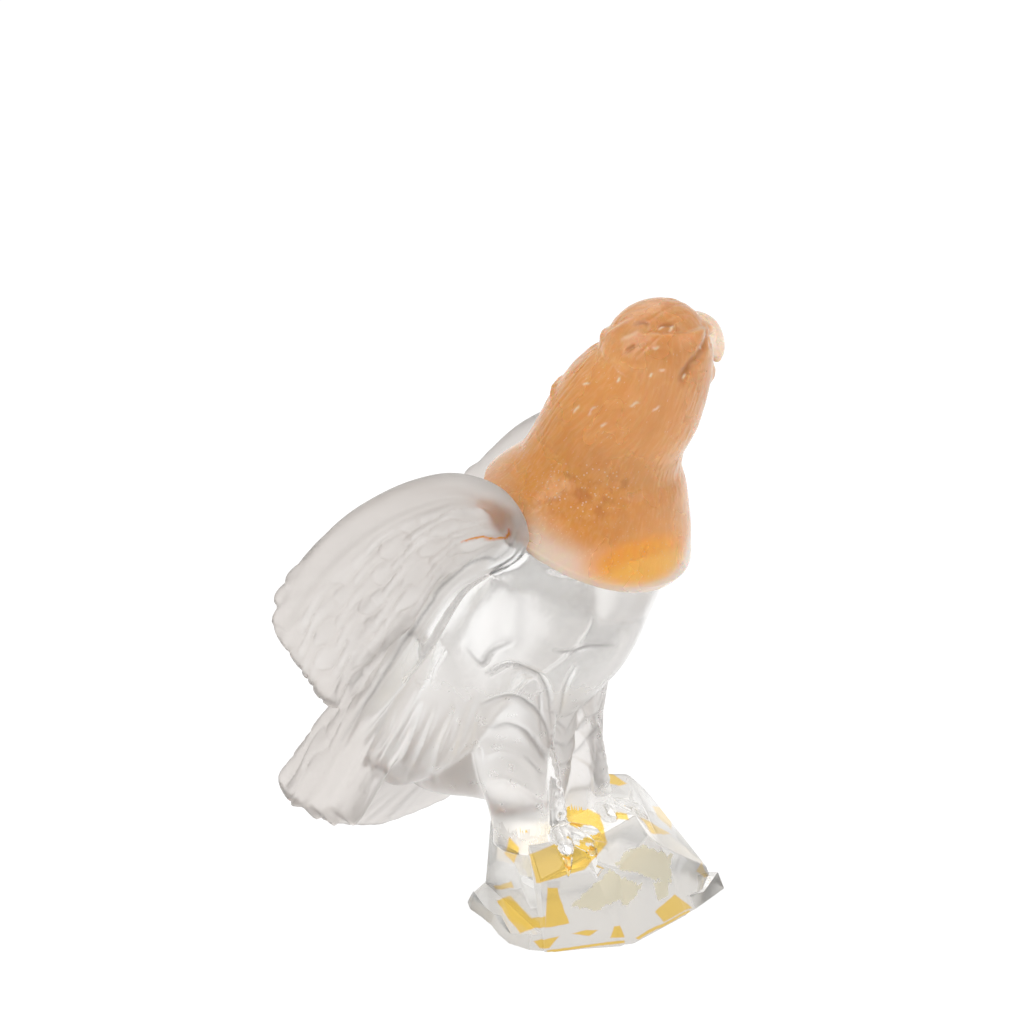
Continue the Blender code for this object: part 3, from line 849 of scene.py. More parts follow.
@dataclass(frozen=True)
class Rock:
    """The faceted block that the eagle grips, with a ragged ledge round its foot."""

    height: float = 0.056
    tilt: float = math.radians(6.0)
    edge: float = 0.0009
    block: float = 0.30
    clear_of_floor: float = 0.0004
    footing_height: float = 0.009
    front: tuple[float, float, float] = (-0.785, -0.550, 0.284)
    facets: tuple[Facet, ...] = (
        Facet(2, 0.054, 0.0, 12),
        Facet(41, 0.047, 0.0, 7),
        Facet(123, 0.026, 0.0, -1),
        Facet(165, 0.047, 0.0, 8),
        Facet(205, 0.056, 0.0, 16),
        Facet(243, 0.070, 0.0, 16),
        Facet(-80, 0.085, 0.008, 20),
        Facet(-12, 0.062, 0.0, 15),
        Facet(16, 0.041, 0.046, 48),
        Facet(60, 0.040, 0.046, 42),
        Facet(-32, 0.058, 0.036, 40),
        Facet(-68, 0.073, 0.046, 46),
        Facet(-118, 0.070, 0.046, 42),
        Facet(190, 0.040, 0.046, 44),
    )
    footing: Curve = (
        (-6, 0.053), (18, 0.052), (40, 0.0465), (58, 0.049), (74, 0.049), (90, 0.046), (106, 0.041),
        (124, 0.038), (142, 0.041), (156, 0.048), (166, 0.052), (180, 0.050), (196, 0.058), (212, 0.064),
        (228, 0.075), (244, 0.079), (258, 0.088), (270, 0.086), (282, 0.092), (292, 0.089), (302, 0.097),
        (309, 0.084), (318, 0.073), (330, 0.062),
    )

    def block_shape(self) -> bpy.types.Object:
        """The block, cut by one plane for each facet, with a table on top for the feet."""
        builder = bmesh.new()
        size = Matrix.Diagonal((self.block, self.block, self.block, 1))
        lift = Vector((0, 0, self.block / 2 + self.clear_of_floor))
        bmesh.ops.create_cube(builder, size=1, matrix=Matrix.Translation(lift) @ size)
        for point, normal in self.planes():
            geometry = builder.verts[:] + builder.edges[:] + builder.faces[:]
            sliced = bmesh.ops.bisect_plane(
                builder, geom=geometry, dist=1e-7, plane_co=point, plane_no=normal, clear_outer=True
            )
            edges = [item for item in sliced["geom_cut"] if isinstance(item, bmesh.types.BMEdge)]
            if edges:
                bmesh.ops.edgenet_fill(builder, edges=edges)
        raised = [edge for edge in builder.edges if max(v.co.z for v in edge.verts) > 0.001]
        bmesh.ops.bevel(
            builder, geom=raised, offset=self.edge, offset_type="OFFSET", segments=2, profile=0.5, affect="EDGES",
            material=-1,
        )
        return new_object("rock_block", builder)

    def planes(self) -> list[tuple[Vector, Vector]]:
        """A point on each flat of the block and its outward direction, the table first."""
        table = (UP * self.height, Matrix.Rotation(self.tilt, 3, FORWARD) @ UP)
        return [table] + [facet.plane() for facet in self.facets]

    def on_stone(self, middles: np.ndarray) -> np.ndarray:
        """A mask that is 1 for faces of the block, of the ledge and of the thighs' feet that sink in it."""
        mask = (middles[:, 2] < self.footing_height * 1.2).astype(float)
        for point, normal in self.planes():
            away = np.abs((middles - np.array(point)) @ np.array(normal))
            mask = np.maximum(mask, (away < self.edge) & (middles[:, 2] < self.height + 0.006))
        _, forward, up = in_shares(middles)
        return np.maximum(mask, (up < 1.8) & (forward < 3.0))

    def in_front(self, outward: np.ndarray) -> np.ndarray:
        """A mask that is 1 for faces that look to the photograph's side or straight up."""
        return ((outward @ np.array(self.front) > 0.1) & (outward[:, 2] > -0.5)).astype(float)

    def rough(self, middles: np.ndarray, outward: np.ndarray) -> np.ndarray:
        """How rough faces are: the ledge most, the ground underside half as much, the flats not at all."""
        outside = np.full(len(middles), -1.0)
        for point, normal in self.planes():
            outside = np.maximum(outside, (middles - np.array(point)) @ np.array(normal))
        ledge = (outside > self.edge) & (middles[:, 2] < self.footing_height * 1.25)
        underside = (middles[:, 2] < 0.001) & (outward[:, 2] < -0.9)
        return np.maximum(0.9 * ledge, 0.5 * underside)

    def footing_shape(self) -> bpy.types.Object:
        """The low ragged ledge."""
        builder = bmesh.new()
        ring = bmesh.ops.create_circle(builder, cap_ends=True, radius=1, segments=len(self.footing))["verts"]
        for vertex, (heading, reach) in zip(ring, self.footing):
            angle = math.radians(heading)
            vertex.co = (FORWARD * math.cos(angle) - LEFT * math.sin(angle)) * reach
        faces = list({face for vertex in ring for face in vertex.link_faces})
        top = bmesh.ops.extrude_face_region(builder, geom=faces)["geom"]
        for index, vertex in enumerate(item for item in top if isinstance(item, bmesh.types.BMVert)):
            vertex.co.z = self.footing_height * (0.8 + 0.35 * math.sin(2.3 * index))
            vertex.co.xy = vertex.co.xy * 0.96
        return new_object("footing_slab", builder)


@dataclass(frozen=True)
class Mantle:
    """The amber mantle and neck, from the tilted seam to the crown."""

    tilt: float = math.radians(28.0)
    gap: float = 0.0003
    cutter: float = 0.3
    seam_forward: float = 5.1
    seam_up: float = 57.2
    stations: Rows = (
        (5.1, 57.2, 18.9, 18.9),
        (5.8, 58.7, 19.9, 19.7),
        (7.2, 62.4, 18.4, 17.9),
        (8.4, 66.4, 16.5, 15.7),
        (9.7, 71.5, 14.2, 13.3),
        (12.2, 77.0, 13.2, 12.4),
        (15.9, 82.2, 12.5, 11.8),
        (18.9, 87.2, 11.3, 10.2),
        (20.3, 91.6, 9.8, 9.2),
        (20.6, 95.6, 7.8, 7.8),
    )
    hackles: FeatherRows = FeatherRows(8.0, 1.4, 0.00010, 0.00010, unevenness=0.9, wave=0.6)
    tufts: FeatherRows = FeatherRows(6.2, 2.6, 0.00022, 0.00018, unevenness=0.9, wave=0.5)
    ruff: FeatherRows = FeatherRows(1.7, 2.2, 0.00024, 0.00014, unevenness=0.6, wave=0.3)

    def seam(self) -> tuple[Vector, Vector]:
        """The middle of the seam and its upward direction."""
        return at(0, self.seam_forward, self.seam_up), FORWARD * math.sin(self.tilt) + UP * math.cos(self.tilt)

    def rings(self, grow: float = 0.0, steps: int = 1) -> list[Ring]:
        """Rings square to the seam below and to the neck above, made larger by grow metres."""
        normal = self.seam()[1]
        stations = list(self.stations)
        rows = stations[:2] + refined(stations[1:], steps)[1:] if steps > 1 else stations
        centres = [at(0, row[0], row[1]) for row in rows]
        rings = []
        for index, (_, up, half_width, half_depth) in enumerate(rows):
            lean = (centres[min(index + 1, len(rows) - 1)] - centres[max(index - 1, 0)]).normalized()
            share = float(np.interp(up, (57.2, 58.7, 62.4, 66.4, 71.5), (0.0, 0.25, 0.5, 0.75, 1.0)))
            axis = (normal * (1 - share) + lean * share).normalized()
            deep = LEFT.cross(axis).normalized()
            centre = centres[index] - normal * grow
            rings.append((centre, LEFT * (half_width * SHARE + grow), deep * (half_depth * SHARE + grow)))
        return rings

    def around(self, places: np.ndarray) -> tuple[np.ndarray, np.ndarray, np.ndarray]:
        """Where points lie on the neck.

        Args:
            places: points in metres.

        Returns:
            The height along the neck and the distance from its middle, in shares, and the angle round it,
            which is 0 at the nape side of the bird's back.
        """
        left, forward, up = in_shares(places)
        rows = np.array(self.stations)
        climb = (up - 57.0) / 30.0
        lean = 0.47 * np.clip(1.0 - climb, 0.0, 1.0) + 0.45 * np.clip(climb, 0.0, 1.0)
        middle = np.interp(up, rows[:, 1], rows[:, 0])
        height = up + lean * (forward - middle)
        middle = np.interp(height, rows[:, 1], rows[:, 0])
        ahead = forward - middle
        return height, np.hypot(left, ahead), np.arctan2(left, -ahead)

    def pocket_shape(self) -> bpy.types.Object:
        """The mantle's outline, a glue line larger, to cut its seat out of the body."""
        builder = bmesh.new()
        loft(builder, self.rings(self.gap), sides=96)
        return new_object("mantle_pocket", builder)

    def below_shape(self) -> bpy.types.Object:
        """Everything below the seam, to cut the mantle's foot flat."""
        middle, normal = self.seam()
        place = Matrix((LEFT, normal.cross(LEFT), normal)).transposed().to_4x4()
        place.translation = middle - normal * self.cutter / 2
        builder = bmesh.new()
        bmesh.ops.create_cube(builder, size=self.cutter, matrix=place)
        return new_object("below_seam", builder)


@dataclass(frozen=True)
class EagleHead:
    """The skull, brows and beak, turned to the eagle's left."""

    middle: tuple[float, float, float] = (0.0, 19.6, 91.0)
    turn: float = math.radians(85.0)
    lumps: tuple[tuple[tuple[float, ...], tuple[float, ...], float], ...] = (
        ((0.5, 0.0, 0.0), (10.0, 8.6, 8.6), 0.0),
        ((-1.5, 0.0, -1.5), (9.0, 9.2, 8.6), 0.0),
        ((5.5, 0.0, -1.5), (7.0, 6.4, 6.6), 12.0),
        ((4.5, 4.6, 3.6), (6.0, 2.0, 1.5), 14.0),
        ((4.5, -4.6, 3.6), (6.0, 2.0, 1.5), 14.0),
        ((3.0, 5.4, -3.2), (6.4, 2.6, 3.4), 20.0),
        ((3.0, -5.4, -3.2), (6.4, 2.6, 3.4), 20.0),
    )
    upper_beak: Rows = (
        (7.0, 0.2, 4.6, 4.6),
        (10.5, 0.5, 3.9, 4.2),
        (13.6, -0.2, 2.9, 3.5),
        (16.0, -1.9, 2.0, 2.7),
        (17.5, -3.9, 1.2, 1.8),
        (17.6, -5.8, 0.4, 0.7),
    )
    lower_beak: Rows = (
        (6.5, -3.6, 3.6, 2.2),
        (10.5, -4.6, 2.6, 1.6),
        (13.6, -5.2, 1.5, 1.0),
        (15.2, -5.6, 0.5, 0.4),
    )
    eye: tuple[float, float, float] = (5.0, 6.1, 1.3)
    eye_size: float = 1.5
    gape: Line = ((7.0, 5.6, -4.0), (10.0, 4.0, -3.4), (13.0, 3.0, -3.9), (15.4, 1.8, -5.2))
    socket: Line = ((3.4, 7.0, 1.0), (5.2, 6.6, 1.6), (7.2, 5.6, 1.4))
    nostril: Line = ((10.4, 3.4, 1.6), (11.4, 3.1, 1.2))
    cere: Line = ((9.4, 0.0, 5.2), (9.6, 2.6, 3.6), (9.8, 4.2, 0.2), (9.2, 4.4, -3.0))
    cheek: Line = ((5.6, 5.9, 4.4), (0.5, 9.0, 1.3), (-3.4, 8.8, -1.7), (-4.1, 8.5, -3.9))
    gape_pen: Pen = Pen(0.0016, 0.0016, sharp=True)
    socket_pen: Pen = Pen(0.0040, 0.0024)
    nostril_pen: Pen = Pen(0.0012, 0.0014)
    cere_pen: Pen = Pen(0.0011, 0.0008, sharp=True)
    cheek_pen: Pen = Pen(0.0036, 0.0015)

    def frame(self) -> Matrix:
        """The head's own axes: ahead along the beak, beside to its left, and up."""
        turn = Matrix.Rotation(self.turn, 3, UP)
        return Matrix((turn @ FORWARD, turn @ LEFT, UP)).transposed()

    def place(self, ahead: float, beside: float, up: float) -> Vector:
        """A point on the head, in metres."""
        return at(*self.middle) + self.frame() @ Vector((ahead, beside, up)) * SHARE

    def add_to(self, builder: bmesh.types.BMesh) -> None:
        """Adds the head's shapes."""
        axes = self.frame()
        for place, half_sizes, pitch in self.lumps:
            blob(builder, self.place(*place), half_sizes, axes @ Matrix.Rotation(math.radians(pitch), 3, "Y"))
        for profile in (self.upper_beak, self.lower_beak):
            rows = refined(list(profile), 4)
            centres = [self.place(out, 0, up) for out, up, _, _ in rows]
            loft(builder, rings_along(centres, [row[2:] for row in rows], axes @ Vector((0, 1, 0))), sides=32)

    def creases(self) -> list[Stroke]:
        """The gape, the nostrils, the eye sockets, the brow lines and the edge of the cere."""
        strokes = []
        for side in Side:
            strokes.append(Stroke(self.on_face(self.gape, side), self.gape_pen))
            strokes.append(Stroke(self.on_face(self.socket, side), self.socket_pen))
            strokes.append(Stroke(self.on_face(self.nostril, side), self.nostril_pen))
            strokes.append(Stroke(self.on_face(self.cere, side), self.cere_pen))
        return strokes + self.cheek_grooves()

    def cheek_grooves(self) -> list[Stroke]:
        """The deep line behind the beak on each cheek."""
        return [Stroke(self.on_face(self.cheek, side), self.cheek_pen) for side in Side]

    def on_face(self, corners: Line, side: Side) -> tuple[Vector, ...]:
        """Corners given for the left half of the head, put on either half."""
        return tuple(self.place(ahead, side.value * out, up) for ahead, out, up in corners)

    def eyes(self) -> bpy.types.Object:
        """Two small balls that stand in the sockets."""
        builder = bmesh.new()
        for middle in (self.on_face((self.eye,), side)[0] for side in Side):
            blob(builder, middle, (self.eye_size,) * 3, Matrix.Identity(3))
        return new_object("eyes", builder)


def give_attribute(piece: bpy.types.Object, name: str, values: np.ndarray, per: Per = Per.VERTEX) -> None:
    """Stores one number for each vertex, or for each face, of a piece, for its material to read."""
    attribute = piece.data.attributes.new(name, "FLOAT", per.value)
    attribute.data.foreach_set("value", np.ascontiguousarray(values, dtype=np.float32))


def ellipsoid_mask(places: np.ndarray, middle: Vector, half_sizes: Vector) -> np.ndarray:
    """A soft mask that is 1 at the middle of an ellipsoid and 0 outside it, in metres."""
    away = (places - np.array(middle)) / np.array(half_sizes)
    return smooth_between(1.0, 0.0, np.linalg.norm(away, axis=1))


def finish_skin(piece: bpy.types.Object, material: bpy.types.Material, crease: float) -> None:
    """Gives a piece its material and smooth shading, with sharp edges over an angle in radians."""
    piece.data.materials.clear()
    piece.data.materials.append(material)
    piece.data.shade_smooth()
    piece.data.set_sharp_from_angle(angle=crease)


class NodeBoard:
    """Lays nodes in a node tree and joins them."""

    def __init__(self, tree: bpy.types.NodeTree) -> None:
        """Starts on a tree."""
        self.tree = tree

    def add(self, kind: str, settings: dict | None = None, **inputs: object) -> bpy.types.Node:
        """Adds a node.

        Args:
            kind: the node's type.
            settings: its own properties.
            **inputs: values or output sockets for its inputs; a name's underscores are spaces.

        Returns:
            The node.
        """
        node = self.tree.nodes.new(kind)
        for name, value in (settings or {}).items():
            setattr(node, name, value)
        self.fill(node, **inputs)
        return node

    def fill(self, node: bpy.types.Node, **inputs: object) -> None:
        """Sets or links several inputs of a node; a name's underscores are spaces."""
        for name, value in inputs.items():
            self.feed(node, name.replace("_", " "), value)

    def feed(self, node: bpy.types.Node, name: str, value: object) -> None:
        """Sets or links one input of a node."""
        self.put(node.inputs[name], value)

    def math(self, operation: str, *values: object) -> bpy.types.NodeSocket:
        """Adds a Math node and gives its output."""
        node = self.add("ShaderNodeMath", {"operation": operation})
        for socket, value in zip(node.inputs, values):
            self.put(socket, value)
        return node.outputs[0]

    def vector(self, operation: str, first: object, second: object = (0.0, 0.0, 0.0)) -> bpy.types.NodeSocket:
        """Adds a Vector Math node and gives its vector."""
        node = self.add("ShaderNodeVectorMath", {"operation": operation})
        self.put(node.inputs[0], first)
        self.put(node.inputs["Scale"] if operation == "SCALE" else node.inputs[1], second)
        return node.outputs["Vector"]

    def most(self, *values: object) -> bpy.types.NodeSocket:
        """The largest of several values."""
        total = values[0]
        for value in values[1:]:
            total = self.math("MAXIMUM", total, value)
        return total

    def dot(self, first: object, second: object) -> bpy.types.NodeSocket:
        """The dot product of two vectors."""
        node = self.add("ShaderNodeVectorMath", {"operation": "DOT_PRODUCT"})
        self.put(node.inputs[0], first)
        self.put(node.inputs[1], second)
        return node.outputs["Value"]

    def ramp(self, value: object, low: float, high: float) -> bpy.types.NodeSocket:
        """Spreads a value from low to high over 0 to 1."""
        node = self.add("ShaderNodeMapRange", None, Value=value, From_Min=low, From_Max=high)
        return node.outputs["Result"]

    def put(self, socket: bpy.types.NodeSocket, value: object) -> None:
        """Sets or links one socket."""
        if isinstance(value, bpy.types.NodeSocket):
            self.tree.links.new(value, socket)
        else:
            socket.default_value = value

    def mix(self, share: object, first: object, second: object) -> bpy.types.NodeSocket:
        """Adds a colour Mix node and gives its output."""
        node = self.add("ShaderNodeMix", {"data_type": "RGBA"})
        for index, value in ((0, share), (6, first), (7, second)):
            self.put(node.inputs[index], value)
        return node.outputs[2]

    def attribute(self, name: str) -> bpy.types.NodeSocket:
        """Reads a number that the piece stores on its vertices."""
        return self.add("ShaderNodeAttribute", {"attribute_name": name}).outputs["Fac"]

    def noise(self, vector: object, scale: float, detail: float = 2.0) -> bpy.types.NodeSocket:
        """Adds a noise and gives its value."""
        return self.add("ShaderNodeTexNoise", None, Vector=vector, Scale=scale, Detail=detail).outputs["Fac"]


def new_group(
    name: str, inputs: dict[str, str], outputs: dict[str, str]
) -> tuple[NodeBoard, bpy.types.Node, bpy.types.Node]:
    """An empty shader node group.

    Args:
        name: the group's name.
        inputs: each input's kind, by its name.
        outputs: each output's kind, by its name.

    Returns:
        Its board, the node that gives the inputs and the node that takes the outputs.
    """
    tree = bpy.data.node_groups.new(name, "ShaderNodeTree")
    for way, sockets in (("INPUT", inputs), ("OUTPUT", outputs)):
        for socket, kind in sockets.items():
            tree.interface.new_socket(name=socket, in_out=way, socket_type=f"NodeSocket{kind}")
    return NodeBoard(tree), tree.nodes.new("NodeGroupInput"), tree.nodes.new("NodeGroupOutput")


def grain_group() -> bpy.types.NodeTree:
    """The fine uneven skin that acid and mould leave on cast glass, shared by both finishes."""
    known = bpy.data.node_groups.get("cast_skin")
    if known:
        return known
    board, given, result = new_group(
        "cast_skin",
        {"Vector": "Vector", "Grain Scale": "Float", "Swell Scale": "Float"},
        {"Height": "Float", "Cloud": "Float"},
    )
    fine = board.noise(given.outputs["Vector"], given.outputs["Grain Scale"], 3.0)
    slow = board.noise(given.outputs["Vector"], given.outputs["Swell Scale"], 2.0)
    height = board.math("ADD", board.math("MULTIPLY", fine, 0.25), slow)
    board.fill(result, Height=height, Cloud=slow)
    return board.tree


def patch_group() -> bpy.types.NodeTree:
    """A four-sided patch: 1 where a place is inside all its edges, with an edge PATCH_EDGE soft on each side."""
    known = bpy.data.node_groups.get("facet_patch")
    if known:
        return known
    edges = [f"Edge {index}" for index in range(4)]
    board, given, result = new_group(
        "facet_patch", {name: "Vector" for name in ["Vector", *edges]}, {"Mask": "Float"}
    )
    outside = board.most(*[board.dot(given.outputs["Vector"], given.outputs[edge]) for edge in edges])
    board.feed(result, "Mask", board.ramp(outside, PATCH_EDGE, -PATCH_EDGE))
    return board.tree


def new_material(name: str) -> tuple[bpy.types.Material, NodeBoard, bpy.types.Node]:
    """A fresh material with its board and its Principled shader."""
    material = bpy.data.materials.new(name)
    material.use_nodes = True
    shader = material.node_tree.nodes["Principled BSDF"]
    return material, NodeBoard(material.node_tree), shader


@dataclass(frozen=True)
class Patch:
    """A four-sided patch on the rock, by its corners (right, up) as the photograph shows them, in millimetres."""

    corners: Curve

    def edges(self) -> list[tuple[float, float, float]]:
        """Each edge as the line that a place (right, up, 1) in metres is tested against."""
        points = [Vector(corner) / 1000.0 for corner in self.corners]
        middle = sum(points, Vector((0.0, 0.0))) / len(points)
        edges = []
        for first, second in zip(points, points[1:] + points[:1]):
            out = Vector((second.y - first.y, first.x - second.x)).normalized()
            if out.dot(middle - first) > 0:
                out.negate()
            edges.append((out.x, out.y, -out.dot(first)))
        return edges


@dataclass(frozen=True)
class CrystalFinish:
    """Clear lead crystal, satin where the piece's satin attribute is 1 and polished where it is 0.

    The rock's front carries tinted patches, painted reflections in place of the reflections in the photograph: gold
    glints, grey shades and frosted ones. They were laid out on the photograph and are projected along its viewing
    direction, by patch_axes, the directions of its right and its up.
    """

    name: str = "cast_crystal"
    polished_tint: Colour = (0.985, 0.98, 0.97, 1.0)
    satin_and_shade_tint: Colour = (0.72, 0.68, 0.65, 1.0)
    stone_tint: Colour = (0.84, 0.825, 0.80, 1.0)
    shade_tint: Colour = (0.66, 0.64, 0.62, 1.0)
    # The frosted patches' beige tint, a painted reflection.
    frost_and_reflection_tint: Colour = (0.84, 0.75, 0.48, 1.0)
    # The colour of the painted gold glints.
    painted_glint_tint: Colour = (0.97, 0.47, 0.02, 1.0)
    # The colour of the painted reflection of the amber mantle along the shoulders.
    amber_reflection_tint: Colour = (0.80, 0.16, 0.0, 1.0)
    crease_shade_tint: Colour = (0.26, 0.25, 0.245, 1.0)
    ior: float = 1.53
    polished_roughness: float = 0.012
    satin_roughness: float = 0.45
    coat_roughness: float = 0.02
    grain_scale: float = 900.0
    swell_scale: float = 160.0
    bump_strength: float = 0.25
    bump_distance: float = 0.0004
    frost_shake: tuple[float, float] = (0.008, 220.0)
    crisp_shake: tuple[float, float] = (0.003, 60.0)
    patch_axes: Rows = ((0.5736, -0.8192, 0.0), (0.2327, 0.1629, 0.9588))
    # Painted reflections: gold glints of the amber head seen in the rock.
    glints: tuple[Patch, ...] = (
        Patch(((-15.7, 36.9), (-0.2, 42.6), (12.8, 29.1), (-12.1, 22.1))),
        Patch(((4.1, 61.1), (21.8, 54.3), (25.0, 41.9), (3.5, 44.4))),
        Patch(((0.8, 45.2), (25.0, 41.9), (12.8, 29.1), (-1.9, 34.7))),
        Patch(((-6.6, 20.2), (-1.5, 19.6), (4.5, 0.8), (-7.9, -1.3))),
        Patch(((-33.0, 7.3), (-25.9, 11.7), (-13.8, 2.0), (-20.3, -5.4))),
        Patch(((-20.3, 0.5), (-7.5, 5.3), (-7.5, -0.8), (-20.8, -5.4))),
        Patch(((-14.3, -8.8), (-0.1, -5.7), (-5.6, -12.1), (-11.1, -12.4))),
        Patch(((-7.4, -13.1), (33.4, -8.6), (33.6, -10.1), (-6.5, -14.7))),
        Patch(((5.9, -4.9), (12.9, -2.6), (19.4, -2.8), (14.8, -6.1))),
        Patch(((27.9, -1.3), (31.0, -0.9), (33.4, -7.1), (25.9, -7.6))),
        Patch(((49.7, 4.1), (60.6, 12.0), (70.7, 3.5), (54.6, -1.7))),
        Patch(((39.0, -7.4), (69.2, 2.6), (69.6, 1.2), (40.9, -8.8))),
        Patch(((24.7, 61.8), (33.8, 60.5), (36.2, 52.3), (26.3, 53.3))),
        Patch(((41.6, 53.9), (51.6, 47.7), (59.6, 41.2), (48.1, 44.7))),
        Patch(((49.9, 56.3), (62.1, 50.7), (60.5, 43.4), (53.1, 50.5))),
        Patch(((73.7, 21.6), (76.6, 25.9), (80.6, 17.9), (78.4, 17.2))),
        Patch(((1.7, 72.7), (22.8, 76.0), (36.4, 68.6), (33.0, 67.1))),
        Patch(((-24.0, 52.2), (-19.0, 52.3), (-16.7, 47.7), (-22.2, 47.8))),
        Patch(((-29.2, 33.7), (-26.3, 45.0), (-21.1, 39.5), (-24.0, 29.6))),
        Patch(((-34.9, 14.5), (-25.0, 19.4), (-23.6, 16.2), (-33.5, 12.9))),
    )
    shades: tuple[Patch, ...] = (
        Patch(((-31.9, 55.0), (-8.3, 54.0), (-14.8, 44.8), (-30.5, 35.5))),
        Patch(((-31.9, 44.8), (-19.9, 42.9), (-20.3, 30.0), (-29.1, 31.8))),
        Patch(((-6.9, 23.5), (0.0, 23.5), (-0.4, 18.9), (-6.0, 17.9))),
        Patch(((36.6, 71.6), (41.7, 65.1), (50.9, 52.2), (46.3, 55.0))),
        Patch(((2.8, 69.8), (31.5, 67.9), (36.1, 63.3), (5.6, 66.1))),
    )
    # Frosted patches: rough glass, tinted beige as painted reflection.
    frosted: tuple[Patch, ...] = (
        Patch(((26.7, 30.6), (40.1, 40.3), (59.8, 32.4), (58.6, 17.9))),
        Patch(((5.4, 9.6), (25.8, 28.8), (41.0, 18.2), (18.4, 7.4))),
        Patch(((29.5, 17.5), (42.0, 20.8), (40.0, 12.7), (31.4, 9.0))),
        Patch(((49.8, 19.9), (58.6, 19.7), (55.6, 10.8), (51.7, 10.3))),
    )

    def seen_from_the_front(
        self, board: NodeBoard, place: bpy.types.NodeSocket, shake: tuple[float, float]
    ) -> bpy.types.NodeSocket:
        """Places as (right, up, 1) in the photograph's view, shaken by a noise of a size and a scale."""
        ragged, scale = shake
        noise = board.add("ShaderNodeTexNoise", None, Vector=place, Scale=scale, Detail=4.0)
        shift = board.vector("SCALE", board.vector("SUBTRACT", noise.outputs["Color"], (0.5, 0.5, 0.5)), ragged)
        moved = board.vector("ADD", place, shift)
        right, up = (board.dot(moved, axis) for axis in self.patch_axes)
        return board.add("ShaderNodeCombineXYZ", None, X=right, Y=up, Z=1.0).outputs["Vector"]

    def patches(
        self, board: NodeBoard, place: bpy.types.NodeSocket, patches: tuple[Patch, ...]
    ) -> bpy.types.NodeSocket:
        """The mask of several patches together, on the rock's front only."""
        masks = []
        for patch in patches:
            node = board.add("ShaderNodeGroup", {"node_tree": patch_group()}, Vector=place)
            for index, edge in enumerate(patch.edges()):
                board.feed(node, f"Edge {index}", edge)
            masks.append(node.outputs["Mask"])
        return board.math("MULTIPLY", board.most(*masks), board.attribute("front"))

    def material(self) -> bpy.types.Material:
        """Makes the material."""
        material, board, shader = new_material(self.name)
        place = board.add("ShaderNodeTexCoord").outputs["Object"]
        satin, stone = board.attribute("satin"), board.attribute("stone")
        crisp = self.seen_from_the_front(board, place, self.crisp_shake)
        # The frosted patches' mask roughens the rock and tints it as painted reflection.
        frost_and_painted_reflection = self.patches(board, self.seen_from_the_front(board, place, self.frost_shake), self.frosted)
        glints, shades = self.patches(board, crisp, self.glints), self.patches(board, crisp, self.shades)
        skin = board.add(
            "ShaderNodeGroup", {"node_tree": grain_group()}, Vector=place, Grain_Scale=self.grain_scale,
            Swell_Scale=self.swell_scale,
        )
        tint = board.mix(stone, self.polished_tint, self.stone_tint)
        for share, colour in (
            # line: painted shade along the bottom of the deepest creases.
            # milky: the satin tint, with painted highlight and shade on the wings' crests and painted shade on the
            # far thigh.
            (board.attribute("milky_and_painted_shade"), self.satin_and_shade_tint), (board.attribute("line"), self.crease_shade_tint),
            # shades, frost and glints: painted shade and reflections on the rock's front; frost also roughens it.
            (shades, self.shade_tint), (frost_and_painted_reflection, self.frost_and_reflection_tint), (glints, self.painted_glint_tint),
            # warm: painted reflection of the amber mantle along the shoulder creases.
            (board.attribute("painted_amber_reflection"), self.amber_reflection_tint),
        ):
            tint = board.mix(share, tint, colour)
        cover = board.most(satin, frost_and_painted_reflection, board.attribute("ground"))
        uneven = board.math("MULTIPLY_ADD", skin.outputs["Cloud"], 0.25, 0.88)
        rough = board.math("MULTIPLY", cover, self.satin_roughness - self.polished_roughness)
        bump = board.add(
            "ShaderNodeBump", None, Strength=board.math("MULTIPLY", cover, self.bump_strength),
            Distance=self.bump_distance, Height=skin.outputs["Height"],
        )
        bare = board.most(board.math("MULTIPLY", cover, 1.4), stone)
        board.fill(
            shader, Base_Color=tint, Normal=bump.outputs["Normal"], Metallic=0.0, Transmission_Weight=1.0,
            Roughness=board.math("MULTIPLY_ADD", rough, uneven, self.polished_roughness), IOR=self.ior,
            Coat_Weight=board.most(board.math("SUBTRACT", 1.0, bare), 0.0), Coat_Roughness=self.coat_roughness,
        )
        return material


